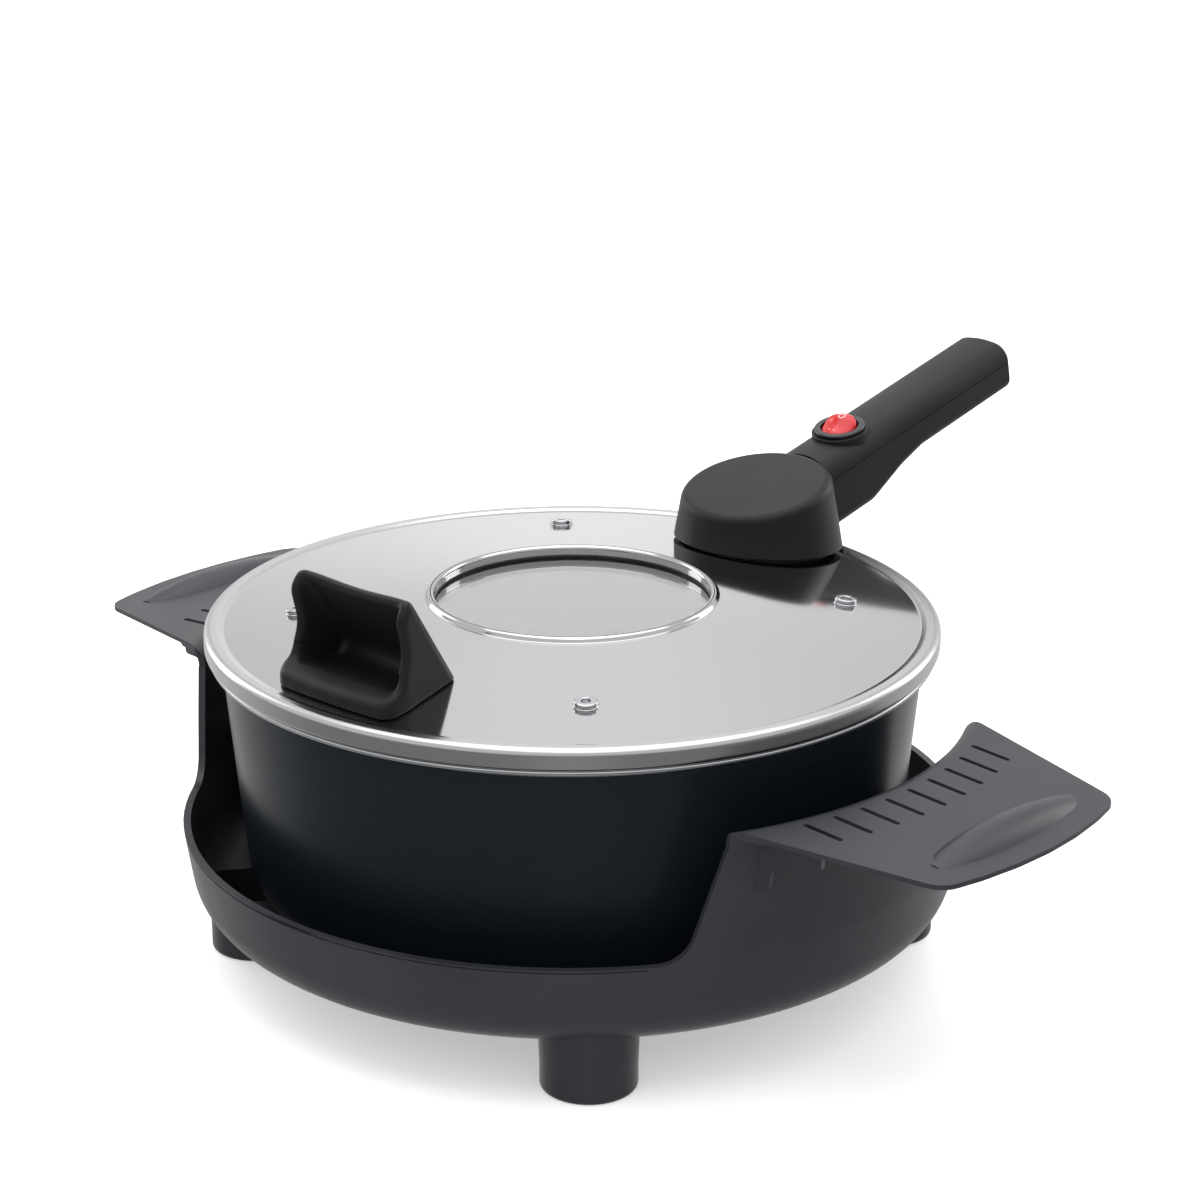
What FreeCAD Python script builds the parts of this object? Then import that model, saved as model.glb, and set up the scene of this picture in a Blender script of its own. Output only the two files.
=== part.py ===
import FreeCAD, Part
import math
import os

os.makedirs("parts", exist_ok=True)

Vector = FreeCAD.Vector
UP = Vector(0, 0, 1)

# Electric roasting pan: a stand, a pan that sits in it and a heated lid that sits on the pan.
# Millimetres. The table is z = 0, the pan's axis is x = y = 0, the stand's plates point along
# +X and -X, and the lid's handle points along +Y.

# Reach of the tools that trim a piece, beyond every surface they have to pass
far = 300.0
past = 1.0

# Stand
stand_wall = 3.0
floor_level = 27.0            # top of the ledge inside the ring
floor_inner_radius = 115.3
bowl_corner_radius = 154.0    # where the ledge and the wall would meet
bowl_fillet = 18.5
ring_radius = 159.4           # middle of the wall at the ring's top edge
ring_height = 61.0
ring_edge_radius = 60.0
plate_radius = 163.2          # middle of the wall under the plates
plate_level = 113.5
plate_slope = 4.6             # degrees, down and outwards
plate_fold_radius = 6.0
plate_inner_radius = 6.0
plate_reach = 236.0
plate_wall = 1.9
plate_start_level = 106.0     # the uprights' edges lean out from the ring up to here
plate_inner_x = 146.8
plate_outer_half_width = 55.0
plate_corner_radius = 12.0
plate_outer_arc_rise = 8.0
upright_angle_low = 32.6      # half the upright's spread at the ring's top, seen from above
upright_angle_high = 27.2
upright_fillet = 14.0
step_depth = 0.5
step_height = 0.7
step_below_edge = 0.6
plate_thinning_start = 4.0    # from the fold's end to where the plate is down to its wall
plate_thinning_run = 3.0
plate_outer_arc_steps = 6
window_start_x = 64.0         # the spaces between the uprights are open from here out
leg_circle_radius = 132.5
leg_radius = 19.0
leg_top_radius = leg_radius + 0.75
leg_foot_height = 10.0
leg_edge_radius = 2.0
leg_floor = 7.0
leg_wall = 2.5
leg_collar_width = 2.5
leg_top_level = 40.0          # the leg's wall runs up into the bowl under this height
leg_angle = 45.0
rib_width = 12.0
rib_outer_half_gap = 52.0
rib_end_x = 106.0
rib_height = 3.0
rib_corner_x = 137.4
rib_fillet = 9.0
rib_top_x = 143.8
rib_top_level = 72.5
rib_top_fillet = 4.0
slot_count = 9
slot_pitch = 13.1
slot_length = 18.0
slot_width = 2.4
slot_start_radius = 171.0
hump_half_length = 44.0
hump_half_width = 10.0
hump_height = 4.6
hump_end_length = 22.0
hump_end_radius = 180.0
hump_centre = plate_reach - 20.5
gusset_thickness = 3.0
gusset_reach = 27.0
gusset_drop = 25.5
gusset_foot = 6.0
gusset_band = 11.5
gusset_corner = 1.5           # beyond the foot, where the web turns under the plate
gusset_inset = 13.0
gusset_fillet = 8.0
gusset_edge_radius = 2.0

# Pan
pan_wall = 2.0
pan_depth = 105.0
pan_rim_radius = 148.0
pan_neck_radius = 142.0       # middle of the wall under the flange
pan_base_radius = 132.3       # middle of the wall carried down to the base
pan_corner_radius = 16.5
pan_flare_radius = 4.0

# Lid, with heights above the plane of its seat on the pan's rim
cover_sheet = 1.0
cover_radius = 149.5
cover_rim_height = 9.1
cover_return_radius = 143.2
cover_groove_radius = 141.5
cover_groove_height = 7.8
cover_slope = 6.7             # degrees
bead_height = 19.9
window_radius = 56.0
bead_outer_radius = window_radius + 3.4
dome_sheet = 1.2
dome_depth = 26.0
dome_radius = 138.4
dome_base_radius = 135.6
dome_fillet = 18.0
dome_flange_radius = 146.8
glass_radius = window_radius + 4.0
glass_thickness = 4.0
gasket_radius = glass_radius + 2.0
dome_neck_radius = gasket_radius + dome_sheet
dome_neck_foot_radius = dome_neck_radius + 3.8
gasket_lip = 1.1
gasket_drop = 0.8            # under the cover's cone
fit_gap = 0.1
seam_gap = 0.15
seat_gap = 0.05

# Inside the lid
element_circle_radius = 100.0
element_tube_radius = 3.5
element_gap_angle = 9.0
element_clearance = 0.2
element_terminal_level = 1.0
shield_sheet = 0.8
shield_drop = 19.0
shield_inner_radius = dome_neck_foot_radius + 3.0
shield_outer_radius = 128.0
insulation_thickness = 8.0
insulation_inner_radius = shield_inner_radius + 2.0
insulation_outer_radius = 126.0
clip_width = 8.0
clip_sheet = 0.8
clip_angles = (0, 60, 120, 180, 240, 300)
stud_circle_radius = 111.5
stud_angles = (45, 135, 225, 315)
stud_shank_radius = 2.0
stud_head_radius = 4.6
stud_head_height = 1.7
stud_hex_across = 3.6
stud_hex_depth = 1.2
washer_radius = 5.0
washer_thickness = 0.6
spacer_radius = 3.6
nut_across = 7.0
nut_height = 3.2
cutout_radius = 8.0
cutout_height = 7.0
cutout_angle = 118.0
cutout_circle_radius = 98.0

# Head of the handle
head_centre = 118.5
head_radius = 36.5
head_bottom_level = 12.6
head_bottom_slope = 5.5       # degrees, down towards the rim
head_top_level = 37.8
head_top_centre = 116.4
head_top_slope = 11.5         # degrees, up towards the handle
head_draft = 0.17
head_edge_radius = 4.0
head_wall = 2.5
base_radius = 31.0
base_top_level = 17.5
wire_hole_radius = 7.0
boss_circle_radius = 24.0
boss_radius = 4.5
head_screw_radius = 2.0
head_screw_head_radius = 3.6
head_screw_head_height = 2.4
head_screw_depth = 9.0
tongue_half_width = 10.5
tongue_height = 6.0
tongue_start = 128.0
tongue_screw_x = 6.0
tongue_screw_y = 138.0

# Switch
switch_place = 27.6
barrel_radius = 9.8
barrel_depth = 20.0
barrel_wall = 1.1
collar_radius = barrel_radius + 2.8
collar_height = 1.2
bezel_radius = barrel_radius + 1.5
bezel_thickness = 1.8
bezel_opening_radius = barrel_radius - barrel_wall
switch_hole_clearance = 0.2
rocker_radius = bezel_opening_radius - 0.8
rocker_tilt = 9.0             # degrees to each side of level
rocker_crest = 6.2            # above the pivot
rocker_waist = 5.0
rocker_ball_radius = rocker_radius + 2.0
rocker_pivot_depth = 3.2      # pivot under the bezel's top
rocker_skirt = 2.4
rocker_pin_radius = 1.0
rocker_pin_clearance = 0.05
rocker_pin_half_length = barrel_radius - 0.3
terminal_width = 4.8
terminal_sheet = 0.8
terminal_length = 5.0

# Handle, in its own frame: x across, y along it and z square to its split line
handle_rise = 12.0            # degrees
handle_root = 150.0
handle_root_level = 33.9
handle_half_width = barrel_radius + 4.9
handle_length = 136.0
handle_crown = 9.4
handle_depth = 13.6
belly_depth = 23.7
belly_end = 30.0
belly_radius = 9.0
belly_slope_end = 52.0
belly_rise_end = 68.0
handle_wall = 2.5
handle_top_radius = 8.4
handle_crown_radius = 40.0    # of the top across the handle
handle_crown_slope = 9.0      # degrees, from the crown to the top edge's rounding
handle_bottom_radius = 5.4
handle_end_radius = 2.4
handle_end_wall = 4.0
handle_split_gap = 0.3
handle_start = -22.0
handle_screw_places = (57.0, 88.0)
handle_boss_radius = 3.4
handle_screw_radius = 1.5
handle_screw_head_radius = 2.9
handle_screw_head_height = 2.0
handle_screw_recess = 5.0

# Mains inlet
inlet_half_width = 11.4
inlet_bottom = -9.2
inlet_top = 5.8
inlet_chamfer = 4.5
inlet_wall = 1.0
inlet_front = 133.6
inlet_length = 21.0
inlet_socket_depth = 16.0
pin_thickness = 2.0
pin_height = 4.0
pin_pitch = 7.0
pin_row_level = -4.0
earth_pin_level = 0.0
pin_tip_recess = 5.5
pin_tail = 4.5

# Finger grip, with distances measured from the lid's axis
grip_back = 90.0
grip_back_level = 9.0
grip_top = 121.0
grip_top_level = 54.5
grip_brow = 127.5
grip_brow_drop = 7.5
grip_waist = 124.5
grip_front = 139.5
grip_front_level = 13.5
grip_half_width = 31.0
grip_back_half_width = 25.5
grip_wall = 4.2
grip_corner_radius = 6.0
grip_floor_level = 15.5
grip_lip_level = 18.0
grip_bulge = 3.5            # of the lip's front edge
grip_dip = 3.0              # of the top edge
grip_edge_radius = 3.0
grip_floor_fillet = 5.0
grip_floor_run = 13.0
grip_lip_fillet = 20.0
grip_side_level = 31.0      # where the wings are narrowest
grip_side_fillet = 14.0
grip_plan_taper = 14.0      # the plan narrows from this far behind the lip
grip_plan_fillet = 24.0
grip_screw_x = 16.0
grip_screw_place = 97.0
grip_screw_radius = 1.8
grip_screw_head_radius = 3.4
grip_screw_head_height = 2.2
grip_screw_depth = 4.5

# Wires
wire_radius = 1.2
wire_spread = 8.5
beside_barrel = barrel_radius + 0.2    # a wire under the switch keeps this far from the middle
under_barrel = wire_radius + 1.6       # and this far below it

# Terminal block
block_half_width = 12.0
block_depth = 11.0
block_height = 9.0
block_place = 97.5

# Heights that follow from the sizes above
floor_middle = floor_level - stand_wall / 2
pan_seat = floor_level + rib_height
lid_seat = pan_seat + pan_depth


def save(name, shape):
    shape.exportStep("parts/" + name + ".step")


def lifted(shape, height=lid_seat):
    shape.translate(Vector(0, 0, height))
    return shape


def direction(start, end):
    run = math.hypot(end[0] - start[0], end[1] - start[1])
    return ((end[0] - start[0]) / run, (end[1] - start[1]) / run)


def offset_path(points, distance):
    """The same path moved to its left, with each corner's radius changed to suit."""
    result = []
    last = len(points) - 1
    for i, point in enumerate(points):
        before = direction(points[max(i - 1, 0)], points[max(i - 1, 0) + 1])
        after = direction(points[min(i, last - 1)], points[min(i, last - 1) + 1])
        left_before = (-before[1], before[0])
        left_after = (-after[1], after[0])
        share = 1 + left_before[0] * left_after[0] + left_before[1] * left_after[1]
        x = point[0] + distance * (left_before[0] + left_after[0]) / share
        z = point[1] + distance * (left_before[1] + left_after[1]) / share
        turn = before[0] * after[1] - before[1] * after[0]
        radius = point[2] if len(point) > 2 else 0
        if radius:
            radius = radius - distance if turn > 0 else radius + distance
        result.append((x, z, radius))
    return result


def path_edges(points, at):
    """Lines through the points with an arc at each corner that has a radius."""
    edges = []
    here = points[0]
    for i in range(1, len(points)):
        corner = points[i]
        radius = corner[2] if len(corner) > 2 and i < len(points) - 1 else 0
        if not radius:
            edges.append(Part.LineSegment(at(here[0], here[1]), at(corner[0], corner[1])).toShape())
            here = corner
            continue
        before = direction(points[i - 1], corner)
        after = direction(corner, points[i + 1])
        turn = math.acos(max(-1, min(1, before[0] * after[0] + before[1] * after[1])))
        if turn < 1e-6:
            continue
        cut = radius * math.tan(turn / 2)
        start = (corner[0] - before[0] * cut, corner[1] - before[1] * cut)
        end = (corner[0] + after[0] * cut, corner[1] + after[1] * cut)
        inward = direction((0, 0), (after[0] - before[0], after[1] - before[1]))
        sagitta = radius / math.cos(turn / 2) - radius
        middle = (corner[0] + inward[0] * sagitta, corner[1] + inward[1] * sagitta)
        edges.append(Part.LineSegment(at(here[0], here[1]), at(*start)).toShape())
        edges.append(Part.Arc(at(*start), at(*middle), at(*end)).toShape())
        here = end
    return edges


def at_side(x, z):
    return Vector(x, 0, z)


def at_end(y, z):
    return Vector(0, y, z)


def at_plan(x, y):
    return Vector(x, y, 0)


def outline(points, at):
    """A face with rounded corners. The first corner stays sharp."""
    closed = list(points) + [points[0][:2]]
    return Part.Face(Part.Wire(path_edges(closed, at)))


def sheet_face(points, thickness):
    """The section of a bent sheet whose middle follows the points."""
    one = offset_path(points, thickness / 2)
    two = offset_path(points, -thickness / 2)
    edges = path_edges(one, at_side)
    edges.append(Part.LineSegment(at_side(*one[-1][:2]), at_side(*two[-1][:2])).toShape())
    edges += path_edges(two, at_side)
    edges.append(Part.LineSegment(at_side(*two[0][:2]), at_side(*one[0][:2])).toShape())
    return Part.Face(Part.Wire(Part.__sortEdges__(edges)))


def turned(face):
    return face.revolve(Vector(0, 0, 0), UP, 360)


def bent_sheet(points, thickness):
    return turned(sheet_face(points, thickness))


def ring(inner, outer, low, high):
    return Part.makeCylinder(outer, high - low, Vector(0, 0, low)).cut(
        Part.makeCylinder(inner, high - low, Vector(0, 0, low))
    )


def rod(radius, low, high, x=0.0, y=0.0):
    return Part.makeCylinder(radius, high - low, Vector(x, y, low))


def block(x_low, x_high, y_low, y_high, z_low, z_high):
    corner = Vector(x_low, y_low, z_low)
    return Part.makeBox(x_high - x_low, y_high - y_low, z_high - z_low, corner)


def prism(points, at, start, length):
    """An outline drawn with one of the at functions, pushed along the third direction."""
    axis = {at_side: Vector(0, 1, 0), at_end: Vector(1, 0, 0), at_plan: UP}[at]
    face = outline(points, at)
    face.translate(axis * start)
    return face.extrude(axis * length)


def turned_about(shape, angle):
    copy = shape.copy()
    copy.rotate(Vector(0, 0, 0), UP, angle)
    return copy


def hexagon(across, low, high):
    radius = across / math.sqrt(3)
    corners = [
        (radius * math.cos(math.radians(60 * i)), radius * math.sin(math.radians(60 * i)))
        for i in range(6)
    ]
    return prism(corners, at_plan, low, high - low)


def joined(shapes):
    result = shapes[0]
    for shape in shapes[1:]:
        result = result.fuse(shape)
    return result.removeSplitter()


def without(shape, tools):
    for tool in tools:
        shape = shape.cut(tool)
    return shape


# Stand


def stand_section():
    slope = math.tan(math.radians(plate_slope))
    plate_end = plate_reach + 4 * stand_wall
    return [
        (floor_inner_radius - stand_wall, floor_middle),
        (bowl_corner_radius, floor_middle, bowl_fillet),
        (ring_radius, ring_height, ring_edge_radius),
        (plate_radius, plate_level, plate_fold_radius),
        (plate_end, plate_level - (plate_end - plate_radius) * slope),
    ]


def wall_radius(level):
    """Middle of the stand's wall at a height between the bowl and the plate."""
    if level < ring_height:
        share = (level - floor_middle) / (ring_height - floor_middle)
        return bowl_corner_radius + share * (ring_radius - bowl_corner_radius)
    share = (level - ring_height) / (plate_level - ring_height)
    return ring_radius + share * (plate_radius - ring_radius)


def plate_middle(x):
    return plate_level - (x - plate_radius) * math.tan(math.radians(plate_slope))


def plate_inner_half_width():
    return plate_inner_x * math.tan(math.radians(upright_angle_high))


def side_windows():
    """The two spaces between the uprights, each cut square to the wall at its ends."""
    spread = math.radians(upright_angle_low - upright_angle_high)
    points = [
        (-ring_radius * spread, plate_start_level),
        (0, ring_height, upright_fillet),
        (ring_radius, ring_height),
        (ring_radius, plate_start_level),
    ]
    tool = turned_about(prism(points, at_end, window_start_x, ring_radius), upright_angle_low)
    tools = [tool, tool.mirror(Vector(0, 0, 0), Vector(1, 0, 0))]
    return tools + [turned_about(tool, 180) for tool in tools]


def plate_plan():
    """Plan of one plate and the upright under it, on the +X side."""
    outer_x = plate_reach - plate_outer_arc_rise
    half = plate_inner_half_width()
    side = [
        (0, 0),
        (plate_inner_x, -half, plate_inner_radius),
        (outer_x, -plate_outer_half_width, plate_corner_radius),
    ]
    arc = []
    for i in range(1, plate_outer_arc_steps):
        y = plate_outer_half_width * (2 * i / plate_outer_arc_steps - 1)
        bulge = 1 - (y / plate_outer_half_width) ** 2
        arc.append((outer_x + plate_outer_arc_rise * bulge, y, plate_outer_half_width))
    other = [(point[0], -point[1], point[2]) for point in reversed(side[1:])]
    return side + arc + other


def under_thin_plate():
    """What is taken from under the plate, which is thinner than the wall."""
    start = plate_radius + plate_fold_radius + plate_thinning_start
    full = start + plate_thinning_run
    end = plate_reach + far
    low = stand_wall / 2 - plate_wall
    points = [
        (start, plate_middle(start) - stand_wall),
        (full, plate_middle(full) + low),
        (end, plate_middle(end) + low),
        (end, plate_middle(end) - stand_wall),
    ]
    return turned(outline(points, at_side))


def hump(side):
    """The raised finger rest near the plate's outer edge, long and rounded off at its ends."""
    radius = (hump_half_width ** 2 + hump_height ** 2) / (2 * hump_height)
    low = radius - hump_height
    points = [
        (0, -hump_half_length),
        (low, -hump_half_length),
        (radius, hump_end_length - hump_half_length, hump_end_radius),
        (radius, hump_half_length - hump_end_length, hump_end_radius),
        (low, hump_half_length),
        (0, hump_half_length),
    ]
    shape = turned(outline(points, at_side))
    shape.rotate(Vector(0, 0, 0), Vector(1, 0, 0), 90)
    top = plate_middle(hump_centre) + stand_wall / 2
    shape.translate(Vector(side * hump_centre, 0, top + hump_height - radius))
    low = top - plate_wall / 2
    x_low = side * hump_centre - 2 * radius
    keep = block(x_low, x_low + 4 * radius, -plate_reach, plate_reach, low, low + radius)
    return shape.common(keep)


def slots(side):
    tools = []
    for i in range(slot_count):
        y = (i - (slot_count - 1) / 2) * slot_pitch
        start = math.sqrt(slot_start_radius ** 2 - y ** 2) + slot_width / 2
        end = start + slot_length - slot_width
        x_low = min(side * start, side * end)
        x_high = max(side * start, side * end)
        low = plate_level - gusset_drop
        high = plate_level + gusset_drop
        tools.append(block(x_low, x_high, y - slot_width / 2, y + slot_width / 2, low, high))
        for x in (x_low, x_high):
            tools.append(rod(slot_width / 2, low, high, x, y))
    return tools


def wall_inside():
    """The space inside the middle of the stand's ledge and wall."""
    top = [(plate_radius, plate_level), (0, plate_level)]
    points = [(0, floor_middle)] + stand_section()[1:3] + top
    return turned(outline(points, at_side))


def under_plate():
    """The space outside the middle of the stand's wall and under that of its plate."""
    low = plate_level - 2 * gusset_drop
    wall = [(wall_radius(low), low)] + stand_section()[3:]
    return turned(outline(wall + [(wall[-1][0], low)], at_side))


def gussets():
    """A curved web under each side edge of the +X plate."""
    top = plate_level - gusset_band
    low = plate_level - gusset_drop
    points = [
        (-gusset_foot, low),
        (gusset_foot, low, gusset_edge_radius),
        (gusset_foot + gusset_corner, top, gusset_fillet),
        (gusset_reach, top - gusset_edge_radius, gusset_edge_radius),
        (gusset_reach, plate_level),
        (-gusset_foot, plate_level),
    ]
    web = prism(points, at_side, -gusset_thickness / 2, gusset_thickness)
    run = plate_reach - plate_outer_arc_rise - plate_inner_x
    angle = math.degrees(math.atan((plate_inner_half_width() - plate_outer_half_width) / run))
    half = plate_inner_half_width() - gusset_inset
    web.rotate(Vector(0, 0, 0), UP, -angle)
    web.translate(Vector(math.sqrt(wall_radius(low) ** 2 - half ** 2), half, 0))
    web = web.common(under_plate())
    return [web, web.mirror(Vector(0, 0, 0), Vector(0, 1, 0))]


def ribs():
    """Two ribs in each upright that carry the pan's base."""
    points = [
        (rib_end_x + rib_width / 2, floor_middle),
        (rib_end_x + rib_width / 2, pan_seat),
        (rib_corner_x, pan_seat, rib_fillet),
        (rib_top_x, rib_top_level, rib_top_fillet),
        (plate_radius, rib_top_level + stand_wall),
        (plate_radius, floor_middle),
    ]
    space = wall_inside()
    result = []
    for side in (-1, 1):
        centre = side * (rib_outer_half_gap - rib_width / 2)
        rib = prism(points, at_side, centre - rib_width / 2, rib_width)
        end = rod(rib_width / 2, floor_middle, pan_seat, rib_end_x + rib_width / 2, centre)
        rib = rib.fuse(end).common(space)
        result += [rib, turned_about(rib, 180)]
    return result


def leg(angle):
    """The outside of one leg, from the table up into the bowl, and its collar on the ledge."""
    top = floor_level
    points = [
        (0, 0),
        (leg_radius, 0, leg_edge_radius),
        (leg_radius, leg_foot_height),
        (leg_top_radius, top),
        (leg_top_radius, leg_top_level),
        (0, leg_top_level),
    ]
    shape = turned(outline(points, at_side))
    shape.translate(Vector(leg_circle_radius, 0, 0))
    collar = rod(leg_top_radius + leg_collar_width, top - stand_wall, top, leg_circle_radius, 0)
    collar = collar.common(rod(bowl_corner_radius - bowl_fillet, 0, top))
    shape = shape.cut(wall_inside()).fuse(collar)
    return turned_about(shape, angle)


def cup(angle):
    """The hollow of one leg, open upwards through the bowl."""
    inner = leg_top_radius - leg_wall
    points = [
        (0, leg_floor),
        (leg_radius - leg_wall, leg_floor, leg_wall),
        (inner, floor_level),
        (inner, leg_top_level),
        (0, leg_top_level),
    ]
    shape = turned(outline(points, at_side))
    shape.translate(Vector(leg_circle_radius, 0, 0))
    return turned_about(shape, angle)


def stand_frame():
    shell = bent_sheet(stand_section(), stand_wall).cut(under_thin_plate())
    keep = block(-far, far, -far, far, 0, plate_start_level)
    plan = prism(plate_plan(), at_plan, plate_start_level, plate_level)
    keep = joined([keep, plan, turned_about(plan, 180)])
    shell = without(shell.common(keep), side_windows())
    step_top = ring_height - step_below_edge
    outer = wall_radius(step_top) + stand_wall / 2
    step = ring(outer - step_depth, far, step_top - step_height, step_top)
    reach = ring_radius * math.cos(math.radians(upright_angle_low)) - upright_fillet / 2
    shell = shell.cut(step.common(block(-reach, reach, -far, far, 0, ring_height)))
    shell = shell.cut(rod(floor_inner_radius, 0, floor_level + past))
    angles = [leg_angle + 90 * i for i in range(4)]
    shell = joined([shell] + [leg(angle) for angle in angles] + ribs())
    webs = gussets()
    for side, turn in ((1, 0), (-1, 180)):
        pieces = [turned_about(web, turn) for web in webs]
        shell = joined([shell, hump(side)] + pieces)
        shell = without(shell, slots(side))
    return without(shell, [cup(angle) for angle in angles])


# Pan


def pan_bowl():
    flare_level = pan_depth - pan_wall / 2
    points = [
        (0, pan_wall / 2),
        (pan_base_radius, pan_wall / 2, pan_corner_radius),
        (pan_neck_radius, flare_level, pan_flare_radius),
        (pan_rim_radius, flare_level),
    ]
    return lifted(bent_sheet(points, pan_wall), pan_seat)


# Lid shells


def cover_height(radius):
    """Top of the cover's cone at a distance from the lid's axis."""
    slope = math.radians(cover_slope)
    middle = cover_groove_height + (cover_groove_radius - radius) * math.tan(slope)
    return middle + cover_sheet / 2 / math.cos(slope)


def cover_section():
    half = cover_sheet / 2
    cone = cover_groove_height + (cover_groove_radius - bead_outer_radius) * math.tan(
        math.radians(cover_slope)
    )
    return [
        (cover_return_radius, half),
        (cover_radius - half, half, 2.0),
        (cover_radius - half, cover_rim_height - half, 2.6),
        (cover_groove_radius + 2.5, cover_rim_height - half, 2.0),
        (cover_groove_radius, cover_groove_height, 2.0),
        (bead_outer_radius, cone, 1.0),
        (bead_outer_radius - 1.0, bead_height - half, 1.1),
        (window_radius + half, bead_height - half, 1.1),
        (window_radius + half, gasket_top()),
    ]


def glass_bottom():
    return gasket_top() - gasket_lip - glass_thickness


def gasket_top():
    slope = math.radians(cover_slope)
    return cover_height(gasket_radius) - cover_sheet / math.cos(slope) - gasket_drop


def gasket_bottom():
    return glass_bottom() - gasket_lip


def under_cover():
    """Everything below the cover's outer surface, to trim what stands on it."""
    outside = offset_path(cover_section()[1:-1], -cover_sheet / 2 - seat_gap)
    edge = [(0, -60), (outside[0][0], -60)] + outside[1:-1] + [(0, bead_height + seat_gap)]
    return turned(outline(edge, at_side))


def on_cover(shape, radius, angle, drop=0.0):
    """Stand a shape on the cover's slope, or a distance under it."""
    placed = shape.copy()
    placed.translate(Vector(0, 0, -drop))
    placed.rotate(Vector(0, 0, 0), Vector(0, 1, 0), cover_slope)
    placed.translate(Vector(radius, 0, cover_height(radius)))
    return turned_about(placed, angle)


def head_screw_places():
    places = []
    for angle in (45, 135, 225, 315):
        x = boss_circle_radius * math.cos(math.radians(angle))
        y = head_centre + boss_circle_radius * math.sin(math.radians(angle))
        places.append((x, y))
    return places


def tongue_screw_places():
    return [(-tongue_screw_x, tongue_screw_y), (tongue_screw_x, tongue_screw_y)]


def grip_screw_places():
    return [(-grip_screw_x, -grip_screw_place), (grip_screw_x, -grip_screw_place)]


def lid_cover():
    shape = bent_sheet(cover_section(), cover_sheet)
    tools = [rod(wire_hole_radius, 0, 40, 0, head_centre)]
    for x, y in head_screw_places() + tongue_screw_places():
        tools.append(rod(head_screw_radius + fit_gap, 2, 40, x, y))
    for x, y in grip_screw_places():
        tools.append(rod(grip_screw_radius + fit_gap, 2, 40, x, y))
    for angle in stud_angles:
        tools.append(on_cover(rod(stud_shank_radius + fit_gap, -5, 5), stud_circle_radius, angle))
    return lifted(without(shape, tools))


def lid_dome():
    half = dome_sheet / 2
    flange = cover_sheet + half
    floor = half - dome_depth
    neck_top = gasket_bottom() - half
    points = [
        (dome_flange_radius, flange),
        (dome_radius, flange, 2.5),
        (dome_base_radius, floor, dome_fillet),
        (dome_neck_foot_radius, floor, 7),
        (dome_neck_radius, neck_top, 1.5),
        (window_radius + 1.5, neck_top),
    ]
    return lifted(bent_sheet(points, dome_sheet))


def window_glass():
    low = glass_bottom()
    points = [
        (0, low),
        (glass_radius, low, 0.8),
        (glass_radius, low + glass_thickness, 0.8),
        (0, low + glass_thickness),
    ]
    return lifted(turned(outline(points, at_side)))


def window_gasket():
    low = gasket_bottom()
    body = ring(window_radius, gasket_radius, low, gasket_top())
    groove = rod(glass_radius + fit_gap, glass_bottom(), glass_bottom() + glass_thickness)
    return lifted(body.cut(groove))


# Inside the lid


def element_level():
    return dome_sheet - dome_depth + element_clearance + element_tube_radius


def heating_element():
    """A sheathed ring with its two ends turned up under the head."""
    z = element_level()
    start = 90 + element_gap_angle
    torus = Part.makeTorus(
        element_circle_radius, element_tube_radius, Vector(0, 0, z), UP, 0, 360,
        360 - 2 * element_gap_angle,
    )
    torus.rotate(Vector(0, 0, 0), UP, start)
    pieces = [torus]
    for side in (-1, 1):
        angle = math.radians(90 + side * element_gap_angle)
        x = element_circle_radius * math.cos(angle)
        y = element_circle_radius * math.sin(angle)
        pieces.append(Part.makeSphere(element_tube_radius, Vector(x, y, z)))
        pieces.append(rod(element_tube_radius, z, element_terminal_level, x, y))
        pieces.append(rod(1.5, element_terminal_level, element_terminal_level + 4, x, y))
    return lifted(joined(pieces))


def cone_sheet(inner, outer, drop, thickness):
    """A cone parallel to the cover, with its top face a distance under the cover's top."""
    slope = math.radians(cover_slope)
    top = drop / math.cos(slope)
    low = (drop + thickness) / math.cos(slope)
    points = [
        (inner, cover_height(inner) - low),
        (outer, cover_height(outer) - low),
        (outer, cover_height(outer) - top),
        (inner, cover_height(inner) - top),
    ]
    return turned(outline(points, at_side))


def element_end_places():
    places = []
    for side in (-1, 1):
        angle = math.radians(90 + side * element_gap_angle)
        x = element_circle_radius * math.cos(angle)
        places.append((x, element_circle_radius * math.sin(angle)))
    return places


def shield_drop_total():
    return cover_sheet + shield_drop


def heat_shield():
    shape = cone_sheet(shield_inner_radius, shield_outer_radius, shield_drop_total(), shield_sheet)
    tools = []
    for x, y in element_end_places():
        tools.append(rod(element_tube_radius + 1, -40, 40, x, y))
    for angle in stud_angles:
        hole = rod(stud_shank_radius + fit_gap, -40, 5)
        tools.append(on_cover(hole, stud_circle_radius, angle))
    return lifted(without(shape, tools))


def insulation_ring():
    drop = shield_drop_total() - insulation_thickness - fit_gap
    shape = cone_sheet(
        insulation_inner_radius, insulation_outer_radius, drop, insulation_thickness
    )
    tools = []
    for x, y in element_end_places():
        tools.append(rod(element_tube_radius + 2, -40, 40, x, y))
    for angle in stud_angles:
        tools.append(on_cover(rod(spacer_radius + 0.5, -40, 5), stud_circle_radius, angle))
    hole = rod(cutout_radius + 1, -40, 5)
    tools.append(on_cover(hole, cutout_circle_radius, cutout_angle))
    return lifted(without(shape, tools))


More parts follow.
